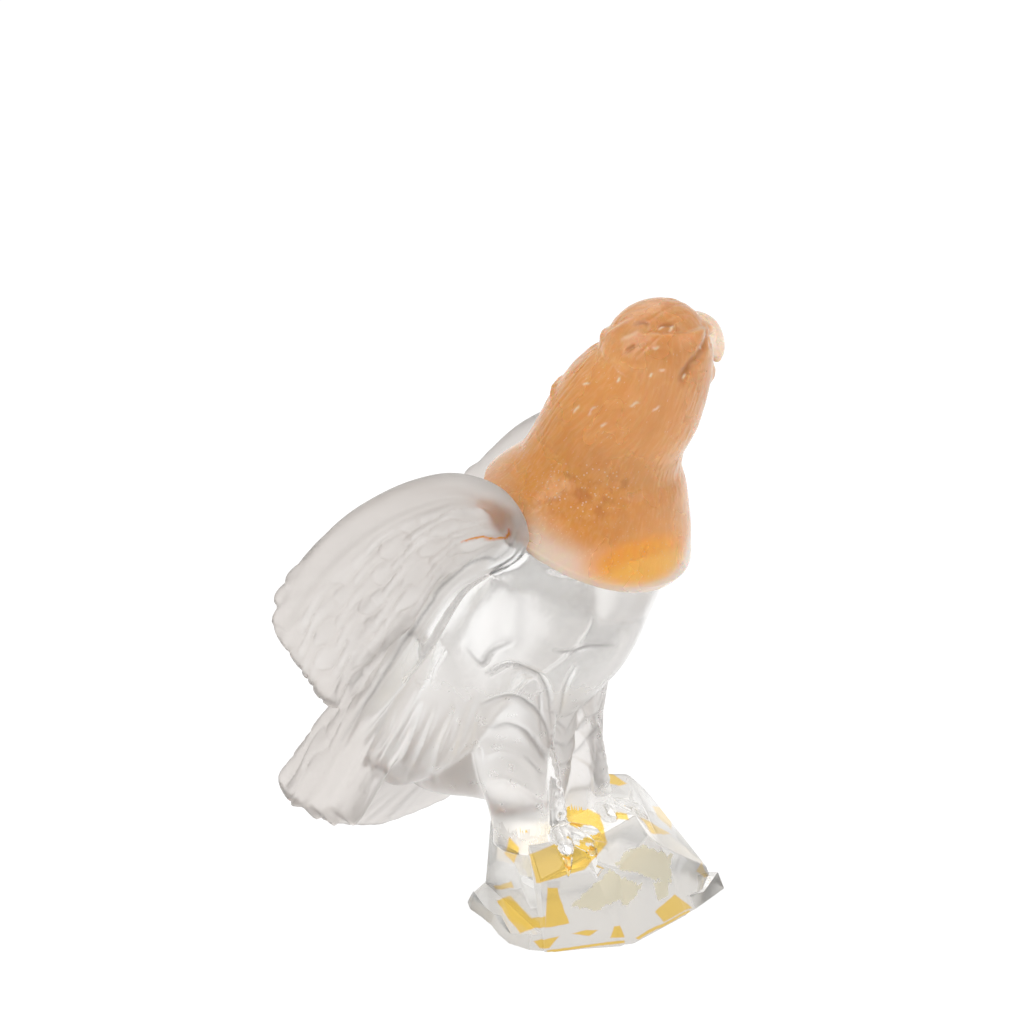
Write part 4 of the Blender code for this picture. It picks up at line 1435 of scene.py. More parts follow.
@dataclass(frozen=True)
class AmberFinish:
    """Streaked amber pate-de-verre that turns pale and cloudy towards the seam.

    It gives off a little light of its own at the breast, in place of the light that the real glass gathers.
    """

    name: str = "amber_pate_de_verre"
    tan_colour: Colour = (0.79, 0.37, 0.09, 1.0)
    golden_colour: Colour = (0.73, 0.30, 0.0, 1.0)
    light_colour: Colour = (0.95, 0.58, 0.24, 1.0)
    pale_colour: Colour = (0.89, 0.77, 0.67, 1.0)
    # The colour of the painted glow above the seam.
    painted_glow_colour: Colour = (1.0, 0.40, 0.0, 1.0)
    # Deep amber, used for the random pockets and for painted shade.
    deep_and_shade_colour: Colour = (0.52, 0.18, 0.0, 1.0)
    sun_colour: Colour = (1.0, 0.57, 0.08, 1.0)
    beak_colour: Colour = (0.97, 0.78, 0.59, 1.0)
    # The colour of the bubbles and of the painted highlights.
    bubble_and_highlight_colour: Colour = (1.0, 0.86, 0.66, 1.0)
    sun_light: Colour = (1.0, 0.50, 0.05, 1.0)
    unlit: Colour = (0.0, 0.0, 0.0, 1.0)
    sun_strength: float = 0.08
    transmission: float = 0.45
    ior: float = 1.5
    coat: float = 0.55
    coat_roughness: float = 0.03
    scatter_radius: tuple[float, float, float] = (1.0, 0.42, 0.15)
    scatter_scale: float = 0.010
    grain_scale: float = 800.0
    swell_scale: float = 45.0
    strand_scale: float = 1.9
    # The size of the painted glint specks.
    glint_speck_scale: float = 1.9
    pocket_scale: float = 0.32
    blotch_scale: float = 150.0
    bubble_scale: float = 430.0
    bump_strength: float = 0.18
    bump_distance: float = 0.0004

    def material(self) -> bpy.types.Material:
        """Makes the material."""
        material, board, shader = new_material(self.name)
        place = board.add("ShaderNodeTexCoord").outputs["Object"]
        flow = board.add("ShaderNodeAttribute", {"attribute_name": "flow"}).outputs["Vector"]
        cluster = board.attribute("cluster")
        strand = board.ramp(board.noise(flow, self.strand_scale), 0.45, 0.72)
        pocket = board.ramp(board.noise(flow, self.pocket_scale, 1.0), 0.56, 0.70)
        blotch = board.math("MULTIPLY", board.ramp(board.noise(place, self.blotch_scale), 0.48, 0.66), cluster)
        pocket = board.most(board.math("MULTIPLY", pocket, 0.12), board.math("MULTIPLY", blotch, 0.65))
        skin = board.add(
            "ShaderNodeGroup", {"node_tree": grain_group()}, Vector=place, Grain_Scale=self.grain_scale,
            Swell_Scale=self.swell_scale,
        )
        colour = self.tan_colour
        for share, tint in (
            (board.attribute("golden"), self.golden_colour),
            (board.math("MULTIPLY", strand, 0.34), self.light_colour), (pocket, self.deep_and_shade_colour),
            # glow and sun: painted glow inside the mantle above the seam.
            (board.attribute("pale"), self.pale_colour), (board.attribute("painted_glow"), self.painted_glow_colour),
            (board.attribute("sun"), self.sun_colour), (board.attribute("beak"), self.beak_colour),
            # deep: painted shade in the sockets, grooves and furrows, and a colour that grows darker towards the
            # crown.
            (board.attribute("deep"), self.deep_and_shade_colour),
        ):
            colour = board.mix(share, colour, tint)
        bubbles = board.add("ShaderNodeTexVoronoi", None, Vector=place, Scale=self.bubble_scale).outputs["Distance"]
        size = board.math("MULTIPLY_ADD", cluster, 0.05, 0.15)
        crowd = board.most(board.attribute("bubbly"), cluster)
        clustered = board.math("MULTIPLY", board.math("LESS_THAN", bubbles, size), crowd)
        # Painted highlights: glint specks along the hackles' flow and the painted catchlights and streaks, mixed in
        # with the bubbles in the bubble colour.
        glint_specks = board.add("ShaderNodeTexVoronoi", None, Vector=flow, Scale=self.glint_speck_scale).outputs["Distance"]
        bright = board.most(clustered, board.math("LESS_THAN", glint_specks, 0.09))
        bright = board.most(board.math("MULTIPLY", bright, 0.55), board.attribute("bright"))
        height = board.math("MULTIPLY_ADD", strand, 1.0, board.math("MULTIPLY", skin.outputs["Height"], 0.35))
        bump = board.add(
            "ShaderNodeBump", None, Strength=self.bump_strength, Distance=self.bump_distance, Height=height
        )
        board.fill(
            shader, Base_Color=board.mix(bright, colour, self.bubble_and_highlight_colour), Normal=bump.outputs["Normal"],
            Roughness=board.math("MULTIPLY_ADD", skin.outputs["Cloud"], 0.20, 0.16), Metallic=0.0,
            Transmission_Weight=self.transmission, IOR=self.ior, Subsurface_Weight=1.0,
            Subsurface_Radius=self.scatter_radius, Subsurface_Scale=self.scatter_scale,
            Coat_Weight=self.coat, Coat_Roughness=self.coat_roughness,
            Emission_Color=board.mix(board.attribute("sun"), self.unlit, self.sun_light),
            Emission_Strength=self.sun_strength,
        )
        return material


@dataclass(frozen=True)
class CrystalBody:
    """The figure and its rock, cast in one piece of clear crystal."""

    torso: Torso = Torso()
    wing: Wing = Wing()
    tail: Tail = Tail()
    leg: Leg = Leg()
    rock: Rock = Rock()
    mantle: Mantle = Mantle()
    finish: CrystalFinish = CrystalFinish()
    voxel: float = 0.00082
    smoothing: int = 6
    triangles: int = 194000
    flank_lines: tuple[Line, ...] = (
        ((22.5, 6.4, 61.1), (23.0, 4.8, 58.3), (24.3, 0.3, 55.9), (25.4, -5.3, 52.1), (25.9, -9.6, 47.5),
         (26.0, -12.8, 43.0), (25.7, -18.2, 34.8), (23.6, -26.3, 23.9), (22.8, -31.7, 15.9)),
        ((20.8, 6.8, 60.0), (21.5, 4.7, 56.0), (22.6, -0.9, 52.1), (24.0, -5.7, 48.8), (24.0, -8.4, 45.4)),
        ((19.8, -16.6, 27.8), (19.6, -19.1, 23.2), (18.9, -26.4, 11.7), (17.8, -32.3, 0.2)),
        ((19.2, -9.0, 25.2), (17.7, -13.9, 16.4), (11.7, -20.8, 3.5)),
        ((22.6, -24.0, 27.0), (22.4, -30.0, 17.5), (22.2, -36.0, 8.0)),
        ((19.8, -21.5, 26.0), (19.6, -27.0, 16.0), (19.2, -34.0, 5.5)),
        ((19.4, -15.5, 25.0), (18.8, -20.5, 15.0), (17.0, -27.0, 4.0)),
    )
    breast_lines: tuple[Line, ...] = (
        ((20.3, -6.3, 38.0), (19.8, -3.3, 35.2), (19.7, -1.2, 37.6), (18.7, 2.7, 40.1)),
        ((13.5, 7.7, 38.8), (11.5, 9.6, 37.7), (8.8, 12.3, 38.4), (4.0, 14.0, 37.6)),
    )
    shoulder_line: Line = (
        (24.2, -4.2, 58.2), (23.4, -0.4, 59.4), (22.7, 2.6, 59.4), (23.5, 5.1, 60.8), (23.6, 5.2, 62.0),
    )
    plumes: tuple[Line, ...] = (
        ((20.0, -10.7, 36.3), (20.0, -13.1, 32.6), (20.0, -14.2, 28.8)),
        ((19.9, -12.3, 25.9), (19.2, -14.7, 20.8), (17.8, -18.6, 13.8), (11.9, -26.9, 4.5)),
        ((19.4, -8.8, 26.5), (18.1, -10.8, 20.4), (15.9, -15.3, 13.2)),
        ((18.7, -4.7, 29.1), (18.2, -7.0, 24.5), (16.6, -10.0, 18.6), (13.8, -13.9, 12.8)),
        ((17.4, -4.7, 25.5), (15.3, -7.6, 19.5), (13.2, -7.7, 13.1)),
        ((19.4, -22.0, 24.0), (19.5, -23.0, 19.2), (19.6, -25.9, 14.5)),
        ((19.4, -26.1, 13.6), (19.2, -29.2, 7.9), (18.5, -30.3, 4.1)),
    )
    inner_lines: tuple[Line, ...] = (
        ((-0.6, 1.4, 11.6), (2.7, 0.9, 11.9), (5.2, 2.5, 14.9), (7.8, 3.4, 17.5)),
        ((0.1, 1.6, 15.0), (3.8, 1.5, 16.8), (5.2, 2.5, 18.8), (8.8, 3.2, 19.6)),
        ((-0.4, 1.6, 17.6), (3.2, 1.7, 20.5), (5.8, 3.5, 23.0), (9.6, 3.7, 24.9)),
        ((9.7, 9.7, 34.3), (9.2, 7.8, 31.2), (8.1, 6.2, 28.5), (5.3, 3.8, 23.8), (2.0, 1.6, 17.6)),
        ((11.5, 2.1, 20.5), (10.4, 2.4, 18.3), (8.5, 3.3, 15.6)),
        ((12.3, 0.7, 16.5), (11.0, 2.0, 14.4), (9.5, 3.0, 12.3)),
        ((11.8, 3.6, 29.0), (11.0, 3.2, 25.4), (10.1, 3.0, 20.8)),
    )
    thigh_lines: tuple[Line, ...] = (
        ((19.0, -2.1, 33.3), (18.0, 1.3, 35.4), (14.6, 3.5, 34.3), (12.3, 4.6, 31.5), (9.7, 4.3, 27.1),
         (7.6, 3.5, 21.0)),
        ((17.8, -4.4, 26.9), (16.5, -1.6, 28.4), (13.9, 1.1, 27.7), (11.6, 2.8, 25.4), (9.1, 3.4, 21.5),
         (7.5, 3.2, 17.7)),
        ((16.0, -5.0, 21.0), (14.4, -1.4, 22.6), (12.6, 1.2, 21.3), (10.8, 2.2, 18.5), (8.8, 3.2, 14.9)),
        ((14.8, -6.0, 15.6), (13.4, -3.0, 17.2), (11.8, -0.4, 16.2), (10.2, 1.6, 13.6), (8.8, 2.9, 10.4)),
        ((13.8, -6.0, 10.4), (12.8, -3.2, 11.8), (11.4, -0.8, 11.0), (10.0, 1.2, 8.8), (8.8, 2.6, 6.2)),
    )
    flank_pen: Pen = Pen(0.0022, 0.0012)
    breast_pen: Pen = Pen(0.0022, 0.0004)
    plume_pen: Pen = Pen(0.0018, 0.0007)
    upper_thigh_pen: Pen = Pen(0.0024, 0.0014, sharp=True, lip=0.15)
    lower_thigh_pen: Pen = Pen(0.0024, 0.0009, sharp=True, lip=0.15)
    inner_thigh_pen: Pen = Pen(0.0024, 0.0015, sharp=True, lip=0.15)
    inner_thigh_reach: float = 0.6
    wing_edge_pen: Pen = Pen(0.0034, 0.0010)
    wing_edge_levels: tuple[float, float] = (0.10, -0.01)
    wing_edge_outward: float = 3.0
    # The two pens that paint shade into the bottom of the creases.
    crease_shade_pen: Pen = Pen(0.0014, 1.0)
    thin_crease_shade_pen: Pen = Pen(0.0012, 0.7)
    # The pen of the painted amber reflection along the shoulders.
    amber_reflection_pen: Pen = Pen(0.0014, 1.0, sharp=True)
    sharp_edge: float = math.radians(38.0)

    def build(self) -> bpy.types.Object:
        """Builds the body and gives it its carving."""
        builder = bmesh.new()
        self.torso.add_to(builder)
        for side in Side:
            self.wing.add_to(builder, side)
            self.leg.add_to(builder, side)
        self.tail.add_to(builder)
        body = new_object("crystal_eagle_body", builder)
        fuse(body, self.voxel, self.smoothing)
        log.info("fused body: %d vertices", len(body.data.vertices))
        self.calm(body)
        self.carve(body)
        soften(body, 3)
        thin_to(body, self.triangles)
        soften(body, 1)
        log.info("thinned")
        cut(body, self.rock.footing_shape(), Cut.JOIN)
        cut(body, self.rock.block_shape(), Cut.JOIN)
        cut(body, self.mantle.pocket_shape(), Cut.TAKE_AWAY)
        log.info("cut")
        return body

    def calm(self, body: bpy.types.Object) -> None:
        """Polishes the breast and the flanks smooth, where shapes meet in a crease."""
        left, forward, up = in_shares(skin_of(body)[0])
        inside = smooth_between(23.5, 20.5, np.abs(left)) * smooth_between(-20.0, -13.0, forward)
        weights = inside * smooth_between(24.0, 34.0, up)
        weights = np.maximum(weights, smooth_between(-12.0, -18.0, forward) * smooth_between(20.0, 14.0, up) * 0.6)
        mark(body, "calm", weights)
        soften(body, 45, "calm")
        log.info("calmed")

    def carve(self, body: bpy.types.Object) -> None:
        """Presses the feathers and the creases into the skin."""
        places, outward = skin_of(body)
        height = np.zeros(len(places))
        for side in Side:
            height += self.wing.relief(places, outward, side)
        sunk = np.zeros(len(places))
        for stroke in self.creases():
            depth = stroke.on_skin(body).sink(places)
            sunk = np.where(np.abs(depth) > np.abs(sunk), depth, sunk)
        press(body, places + outward * (height - sunk)[:, None])

    def drawn(self, lines: tuple[Line, ...], side: Side, pen: Pen) -> list[Stroke]:
        """Lines as strokes on one side."""
        return [Stroke(self.mirrored(line, side), pen) for line in lines]

    def creases(self) -> list[Stroke]:
        """The long lines of the wings, the flanks and the thighs, on both sides."""
        strokes = []
        for side in Side:
            strokes += self.drawn(self.flank_lines + (self.shoulder_line,), side, self.flank_pen)
            strokes += self.drawn(self.breast_lines, side, self.breast_pen)
            strokes += self.drawn(self.plumes + self.inner_lines, side, self.plume_pen)
            strokes += self.drawn(self.thigh_lines[:2], side, self.upper_thigh_pen)
            strokes += self.drawn(self.thigh_lines[2:], side, self.lower_thigh_pen)
            strokes += self.wing_edges(side)
        return strokes + self.drawn(self.inner_thigh_lines(), Side.LEFT, self.inner_thigh_pen)

    def inner_thigh_lines(self) -> tuple[Line, ...]:
        """The thigh's lines, carried over to its inner face."""
        middle, reach = self.leg.offset, self.inner_thigh_reach
        return tuple(
            tuple((middle - reach * (left - middle), *rest) for left, *rest in line) for line in self.thigh_lines
        )

    def wing_edges(self, side: Side) -> list[Stroke]:
        """The two long grooves that set off the rim of one wing."""
        strokes = []
        for below in self.wing_edge_levels:
            line = []
            for back, top in self.wing.covert_top[1:-1]:
                foot = float(self.wing.foot_at(back))
                up = top - below * (top - foot)
                outward = self.wing.swell(back, up) + self.wing_edge_outward
                line.append(self.wing.place(side, back, up, outward))
            strokes.append(Stroke(tuple(line), self.wing_edge_pen))
        return strokes

    def painted_crease_shade(self) -> list[Stroke]:
        """The painted shade in the bottom of the deepest creases, thin dark lines, as strokes whose depth is their
        strength.
        """
        strokes = []
        for side in Side:
            lines = self.breast_lines + self.flank_lines[:1] + self.thigh_lines[:3]
            strokes += self.drawn(lines, side, self.crease_shade_pen) + self.drawn(self.inner_lines, side, self.thin_crease_shade_pen)
        return strokes

    def mirrored(self, line: Line, side: Side) -> tuple[Vector, ...]:
        """A line drawn for the left side, put on either side; the left wing's lift comes with it."""
        corners = []
        for left, forward, up in line:
            lift = self.wing.lift(side, self.wing.wrist_forward - forward) if left > 20.5 else 0.0
            corners.append(at(side.value * left, forward, up + lift))
        return tuple(corners)

    def dress(self, body: bpy.types.Object) -> None:
        """Shades the body and marks where it is satin, frosted or polished, and where shade, highlights and
        reflections are painted into its colour.
        """
        places, outward = skin_of(body)
        left, forward, up = in_shares(places)
        satin = np.maximum(self.wing.satin(places, Side.LEFT), self.wing.satin(places, Side.RIGHT))
        # Painted highlight and shade: the satin tint is thinner on the coverts' crests and thicker between them,
        # and the far thigh's front gets more of it as painted shade.
        crest = sum(self.wing.relief(places, outward, side) for side in Side) / 0.003
        tongue = smooth_between(0.5, 3.0, self.wing.above_foot(places))
        milky_and_painted_shade = satin * smooth_between(15.0, 18.5, np.abs(left)) * np.clip(1.0 - 0.9 * crest, 0.2, 1.25)
        milky_and_painted_shade = milky_and_painted_shade * (0.5 + 0.5 * tongue)
        tail = smooth_between(-20.0, -30.0, forward) * smooth_between(34.0, 26.0, up)
        facing = smooth_between(0.0, 3.0, left) * smooth_between(7.0, 5.0, left)
        stump = np.where(forward < 3.0, up + 4.5, up)
        thighs = (0.25 + 0.6 * facing) * smooth_between(30.0, 20.0, up) * smooth_between(1.5, 5.0, stump)
        give_attribute(body, "milky_and_painted_shade", np.maximum(np.maximum(milky_and_painted_shade, tail), thighs))
        rump = 0.68 * smooth_between(-10.0, -19.0, forward) * smooth_between(54.0, 44.0, up)
        legs = (0.36 + 0.26 * smooth_between(42.0, 26.0, up)) * smooth_between(1.5, 5.0, stump)
        shank = np.hypot(np.abs(left) - self.leg.shank_offset, forward - self.leg.heel_forward)
        shank = shank + 2.0 * np.clip(4.4 - forward, 0.0, 1.0)
        near_shank = (up < 20.0) & (left < 0.0)
        legs = legs * (0.3 + 0.7 * smooth_between(2.2, 3.6, np.where(near_shank, shank, 9.0)))
        satin = np.maximum(np.maximum(satin, rump), legs)
        give_attribute(body, "satin", np.clip(satin, 0.0, 1.0))
        # line: painted shade, thin dark lines along the bottom of the deepest creases.
        give_attribute(body, "line", deepest(body, self.painted_crease_shade(), places))
        # Painted reflection: an orange line along each shoulder crease, where the amber mantle shows through the
        # wing's fold.
        amber_reflection_strokes = [Stroke(self.mirrored(self.shoulder_line, side), self.amber_reflection_pen) for side in Side]
        give_attribute(body, "painted_amber_reflection", smooth_between(0.1, 0.4, deepest(body, amber_reflection_strokes, places)))
        middles, facing = faces_of(body)
        stone = self.rock.on_stone(middles)
        give_attribute(body, "stone", stone, Per.FACE)
        give_attribute(body, "front", stone * self.rock.in_front(facing), Per.FACE)
        give_attribute(body, "ground", self.rock.rough(middles, facing), Per.FACE)
        finish_skin(body, self.finish.material(), self.sharp_edge)


@dataclass(frozen=True)
class AmberHead:
    """The head, neck and mantle in amber pate-de-verre."""

    mantle: Mantle = Mantle()
    head: EagleHead = EagleHead()
    finish: AmberFinish = AmberFinish()
    voxel: float = 0.00065
    smoothing: int = 10
    triangles: int = 190000
    catchlights: tuple[Line, ...] = (
        ((-11.1, 12.2, 85.9), (-11.3, 13.6, 86.3)),
        ((-10.6, 21.5, 83.5), (-9.9, 22.7, 84.1)),
        ((-8.4, 24.5, 82.6), (-7.7, 25.4, 83.4)),
        ((-12.6, 14.4, 81.2), (-12.3, 15.7, 82.7)),
        ((-7.9, 24.1, 93.2), (-7.2, 24.8, 93.5)),
        ((-8.0, 25.5, 89.7), (-7.4, 26.1, 89.8)),
        ((-11.1, 19.1, 87.4), (-10.8, 19.5, 88.1)),
        ((-4.4, 27.9, 87.9), (-4.1, 28.2, 88.6)),
        ((-5.6, 23.9, 96.0), (-4.8, 24.2, 96.2)),
        ((-4.4, 25.0, 95.7), (-3.2, 25.2, 96.3)),
        ((-12.4, 16.8, 79.5), (-12.2, 17.7, 80.2)),
        ((-8.9, 24.3, 88.7), (-8.7, 24.6, 89.1)),
        ((-12.4, 11.2, 81.0), (-12.3, 12.3, 82.4)),
        ((-0.7, 28.5, 92.7), (-0.1, 28.6, 92.3)),
    )
    streaks: tuple[Line, ...] = (
        ((-6.9, 14.2, 94.2), (-7.0, 16.6, 95.8), (-6.1, 18.8, 97.2)),
        ((-9.0, 18.4, 93.7), (-8.3, 19.9, 94.8), (-7.4, 21.2, 95.7)),
    )
    furrows: tuple[Line, ...] = (
        ((-7.0, 19.6, 96.4), (-6.3, 20.9, 97.0), (-5.9, 22.2, 96.8)),
        ((-5.6, 23.6, 96.2), (-4.1, 24.4, 96.5), (-2.7, 25.7, 96.0)),
        ((-9.7, 20.0, 92.3), (-9.3, 20.8, 93.1), (-9.0, 21.3, 93.6)),
    )
    shadow: Line = (
        (6.7, 25.8, 95.0), (1.9, 28.0, 94.0), (-0.4, 28.5, 92.3), (-2.8, 28.4, 90.8), (-4.0, 28.2, 89.3),
        (-4.3, 27.9, 87.5),
    )
    locks: tuple[Line, ...] = (
        ((2.0, 9.6, 93.4), (-3.0, 11.0, 94.0), (-6.4, 12.8, 93.2)),
        ((-1.0, 2.4, 83.6), (-5.5, 2.6, 83.0), (-8.4, 4.2, 81.6)),
    )
    catchlight_pen: Pen = Pen(0.0011, -0.0004)
    streak_pen: Pen = Pen(0.0018, -0.0006)
    furrow_pen: Pen = Pen(0.0016, 0.0006)
    lock_pen: Pen = Pen(0.0030, -0.0016)
    # Pens that paint highlights on the catchlights and the streaks.
    catchlight_paint: Pen = Pen(0.0008, 0.9)
    streak_highlight_paint: Pen = Pen(0.0016, 0.4)
    # The pen that paints shade into the furrows and along the shadow line.
    furrow_shade_paint: Pen = Pen(0.0032, 0.9)
    eye_shadow: tuple[float, float, float] = (0.012, 0.014, 0.016)
    eye_shadow_place: tuple[float, float, float] = (6.0, 5.5, 0.4)
    sharp_edge: float = math.radians(75.0)

    def drawn(self, lines: tuple[Line, ...], pen: Pen) -> list[Stroke]:
        """Lines of the neck as strokes, in metres."""
        return [Stroke(tuple(at(*corner) for corner in line), pen) for line in lines]

    def marks(self) -> list[Stroke]:
        """The ridges and the furrows between the hackles that catch the light."""
        ridges = self.drawn(self.catchlights, self.catchlight_pen) + self.drawn(self.streaks, self.streak_pen)
        return ridges + self.drawn(self.furrows, self.furrow_pen) + self.drawn(self.locks, self.lock_pen)

    def build(self) -> bpy.types.Object:
        """Builds the head and gives it its hackles."""
        builder = bmesh.new()
        loft(builder, self.mantle.rings(steps=4), sides=96)
        self.head.add_to(builder)
        head = new_object("amber_eagle_head", builder)
        fuse(head, self.voxel, self.smoothing)
        places, outward = skin_of(head)
        height = self.hackle_height(places)
        for stroke in self.head.creases() + self.marks():
            height -= stroke.on_skin(head).sink(places)
        press(head, places + outward * height[:, None])
        thin_to(head, self.triangles)
        cut(head, self.head.eyes(), Cut.JOIN)
        cut(head, self.mantle.below_shape(), Cut.TAKE_AWAY)
        return head

    def hackle_height(self, places: np.ndarray) -> np.ndarray:
        """How far the hackles stand out: long at the mantle, short on the crown, none at the face."""
        height, _, angle = self.mantle.around(places)
        along = 100.0 - height + 0.9 * np.sin(angle * 5.0) + 0.6 * np.sin(height * 0.4)
        across = angle * 16.0 + 0.20 * (height - 60.0) + 0.8 * np.sin(height * 0.30 + angle * 3.0)
        fine = self.mantle.hackles.height(along, across) * smooth_between(61.0, 66.0, height)
        bold = (self.mantle.tufts.height(along, across) - 0.0001) * smooth_between(67.0, 75.0, height)
        throat = smooth_between(2.4, 2.8, np.abs(angle)) * smooth_between(70.0, 73.0, height)
        throat = throat * smooth_between(90.0, 86.0, height)
        bold += (self.mantle.ruff.height(along, across) - 0.0002) * throat
        ahead, beside, up = self.on_head(places)
        swept = self.mantle.tufts.height(20.0 - ahead, 9.0 * np.arctan2(beside, up + 4.0) + 0.25 * ahead)
        crown = smooth_between(89.0, 94.0, height)
        calmer = 1.0 - 0.5 * smooth_between(1.9, 2.5, np.abs(angle)) * smooth_between(92.0, 86.0, height)
        return ((fine + bold) * calmer * (1.0 - crown) + swept * crown) * (1.0 - self.face_share(places))

    def on_head(self, places: np.ndarray) -> np.ndarray:
        """Points as rows of distances ahead, beside and up from the head's middle, in shares."""
        return ((places - np.array(at(*self.head.middle))) @ np.array(self.head.frame()) / SHARE).T

    def face_share(self, places: np.ndarray) -> np.ndarray:
        """A mask that is 1 on the beak and the bare skin round it."""
        ahead, _, up = self.on_head(places)
        return smooth_between(6.0, 9.5, ahead) * smooth_between(-9.5, -6.5, up)

    def dress(self, head: bpy.types.Object) -> None:
        """Shades the head and marks its pale places, its painted shade in the deep colour, its painted glow and its
        painted highlights.
        """
        places, _ = skin_of(head)
        middle, normal = self.mantle.seam()
        above = (places - np.array(middle)) @ np.array(normal)
        wave = 0.004 * wander(places, 0.05, 1.0)
        ahead = smooth_between(1.0, 10.0, in_shares(places)[1])
        give_attribute(head, "pale", smooth_between(0.025, 0.009, above + wave) * (0.2 + 0.8 * ahead))
        # Painted glow: a saturated orange band inside the mantle just above the seam, where light gathers in the
        # glass; sun is its brightest spot, painted and also giving off a little light.
        painted_glow = ellipsoid_mask(places, at(-6.4, 22.4, 55.2), Vector((0.050, 0.050, 0.0175)))
        give_attribute(head, "painted_glow", smooth_between(0.0, 0.6, painted_glow))
        sun = ellipsoid_mask(places, at(-5.0, 22.6, 53.4), Vector((0.042, 0.042, 0.0115)))
        give_attribute(head, "sun", 0.6 * smooth_between(0.0, 0.7, sun))
        # Painted shade: the eye sockets, the cheek grooves, the furrows and the shadow line are darkened in the
        # deep colour, and the colour grows darker towards the crown.
        sockets = np.zeros(len(places))
        for side in Side:
            middle = self.head.on_face((self.eye_shadow_place,), side)[0]
            sockets = np.maximum(sockets, ellipsoid_mask(places, middle, Vector(self.eye_shadow)))
        groove = np.zeros(len(places))
        for stroke in self.head.cheek_grooves() + self.drawn(self.furrows + (self.shadow,), self.furrow_shade_paint):
            groove = np.maximum(groove, stroke.on_skin(head).sink(places) / stroke.pen.depth)
        # Painted highlights: short bright strokes along the catchlights and streaks.
        highlight_paint = self.drawn(self.catchlights, self.catchlight_paint) + self.drawn(self.streaks, self.streak_highlight_paint)
        give_attribute(head, "bright", deepest(head, highlight_paint, places))
        cluster = ellipsoid_mask(places, at(-13.4, 14.0, 68.2), Vector((0.034, 0.034, 0.022)))
        give_attribute(head, "cluster", smooth_between(0.0, 0.5, cluster))
        height, radius, angle = self.mantle.around(places)
        darker_crown = 0.12 * smooth_between(78.0, 92.0, height) + 0.13 * smooth_between(91.0, 97.0, height)
        give_attribute(head, "deep", np.maximum(np.maximum(0.6 * sockets, groove), darker_crown))
        give_attribute(head, "beak", 0.9 * self.face_share(places))
        give_attribute(head, "bubbly", 0.7 * smooth_between(0.055, 0.010, above))
        twist = angle + 0.0125 * (height - 60.0)
        flow = np.stack((radius * np.sin(twist), radius * np.cos(twist), 0.16 * height), axis=1)
        attribute = head.data.attributes.new("flow", "FLOAT_VECTOR", "POINT")
        attribute.data.foreach_set("vector", np.ascontiguousarray(flow, dtype=np.float32).ravel())
        aside = (0.82 * places[:, 1] - 0.57 * places[:, 0]) / 0.05
        golden = 0.35 + 0.45 * aside + smooth_between(0.11, 0.03, above) * 0.35
        give_attribute(head, "golden", np.clip(golden, 0.0, 1.0))
        finish_skin(head, self.finish.material(), self.sharp_edge)


@dataclass(frozen=True)
class Softbox:
    """A square studio light."""

    name: str
    heading: float
    height: float
    away: float
    size: float
    power: float

    def place(self, target: Vector) -> None:
        """Hangs the light and turns it to the target."""
        lamp = bpy.data.lights.new(self.name, "AREA")
        lamp.size = self.size
        lamp.energy = self.power
        light = bpy.data.objects.new(self.name, lamp)
        turn, rise = math.radians(self.heading), math.radians(self.height)
        offset = Vector((math.sin(turn) * math.cos(rise), -math.cos(turn) * math.cos(rise), math.sin(rise)))
        light.location = target + offset * self.away
        light.rotation_euler = offset.to_track_quat("Z", "Y").to_euler()
        bpy.context.scene.collection.objects.link(light)


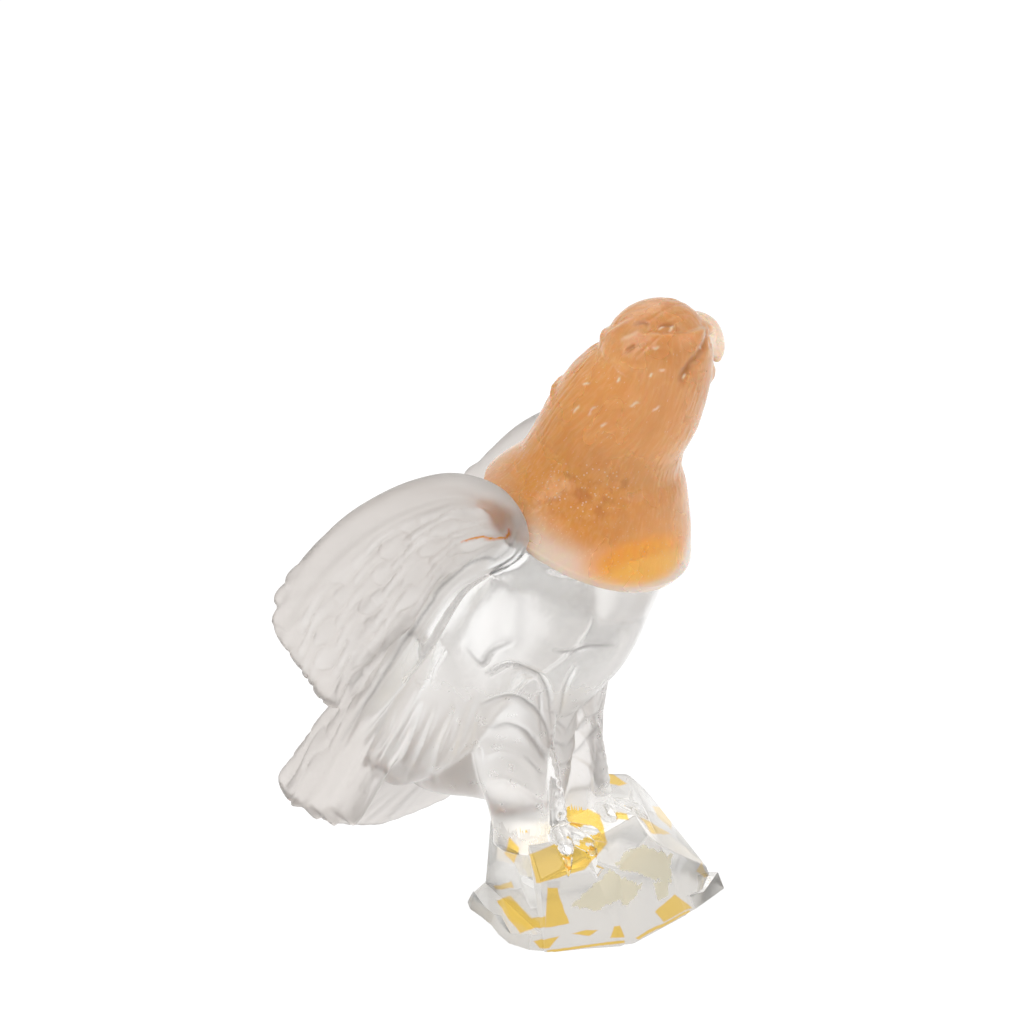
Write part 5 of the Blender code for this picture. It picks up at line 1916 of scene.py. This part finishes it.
@dataclass(frozen=True)
class Studio:
    """A pale floor, soft light and the camera of the photograph."""

    azimuth: float = math.radians(-55.0)
    elevation: float = math.radians(16.5)
    lens: float = 135.0
    distance: float = 2.03
    scale: float = 3840.0
    shift_right: float = -47.0
    shift_up: float = 403.5
    sensor: float = 36.0
    clip: tuple[float, float] = (0.05, 60.0)
    floor_size: float = 16.0
    floor_drop: float = 0.0004
    floor_grey: Colour = (0.16, 0.16, 0.16, 1.0)
    floor_glow: float = 0.93
    room_colour: Colour = (1.0, 0.985, 0.965, 1.0)
    room_strength: float = 0.85
    aim: tuple[float, float, float] = (0.0, 0.01, 0.16)
    boxes: tuple[Softbox, ...] = (
        Softbox("key_box", -100.0, 48.0, 1.3, 1.0, 5.0),
        Softbox("fill_box", 10.0, 32.0, 1.5, 1.0, 3.0),
        Softbox("top_box", 150.0, 66.0, 1.4, 1.2, 4.0),
    )

    def place_camera(self) -> None:
        """Puts the camera where the photograph was taken from."""
        back = Vector((
            math.sin(self.azimuth) * math.cos(self.elevation),
            -math.cos(self.azimuth) * math.cos(self.elevation),
            math.sin(self.elevation),
        ))
        right = Vector((math.cos(self.azimuth), math.sin(self.azimuth), 0.0))
        up = back.cross(right)
        lens = bpy.data.cameras.new("camera")
        lens.lens = self.lens
        lens.sensor_width = self.sensor
        lens.clip_start, lens.clip_end = self.clip
        camera = bpy.data.objects.new("camera", lens)
        per_pixel = self.distance / self.scale
        shift = right * self.shift_right * per_pixel
        camera.location = back * self.distance + shift + up * self.shift_up * per_pixel
        camera.rotation_euler = back.to_track_quat("Z", "Y").to_euler()
        bpy.context.scene.collection.objects.link(camera)
        bpy.context.scene.camera = camera

    def lay_floor(self) -> None:
        """Lays the pale floor."""
        builder = bmesh.new()
        bmesh.ops.create_grid(builder, x_segments=1, y_segments=1, size=self.floor_size / 2)
        bmesh.ops.translate(builder, verts=builder.verts, vec=UP * -self.floor_drop)
        floor = new_object("floor", builder)
        material, board, shader = new_material("white_floor")
        board.fill(
            shader, Base_Color=self.floor_grey, Roughness=1.0, Specular_IOR_Level=0.0,
            Emission_Color=(1.0, 1.0, 1.0, 1.0), Emission_Strength=self.floor_glow,
        )
        floor.data.materials.append(material)

    def light(self) -> None:
        """Hangs the softboxes and sets the room's own light."""
        for box in self.boxes:
            box.place(Vector(self.aim))
        world = bpy.data.worlds.new("studio")
        world.use_nodes = True
        background = world.node_tree.nodes["Background"]
        background.inputs["Color"].default_value = self.room_colour
        background.inputs["Strength"].default_value = self.room_strength
        bpy.context.scene.world = world
        bpy.context.scene.view_settings.view_transform = "Standard"


def hand_in(piece: bpy.types.Object, node: str) -> None:
    """Lets a finished piece stand for its node and reports it."""
    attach(piece, "root")
    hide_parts(node)
    piece.data.calc_loop_triangles()
    log.info("%s: %d triangles", piece.name, len(piece.data.loop_triangles))


def main() -> None:
    """Builds the eagle in its studio."""
    logging.basicConfig(level=logging.INFO, format="%(name)s: %(message)s")
    studio = Studio()
    studio.place_camera()
    studio.lay_floor()
    studio.light()
    crystal = CrystalBody()
    body = crystal.build()
    crystal.dress(body)
    hand_in(body, "crystal_body")
    amber = AmberHead()
    head = amber.build()
    amber.dress(head)
    hand_in(head, "amber_head")


if __name__ == "__main__":
    main()
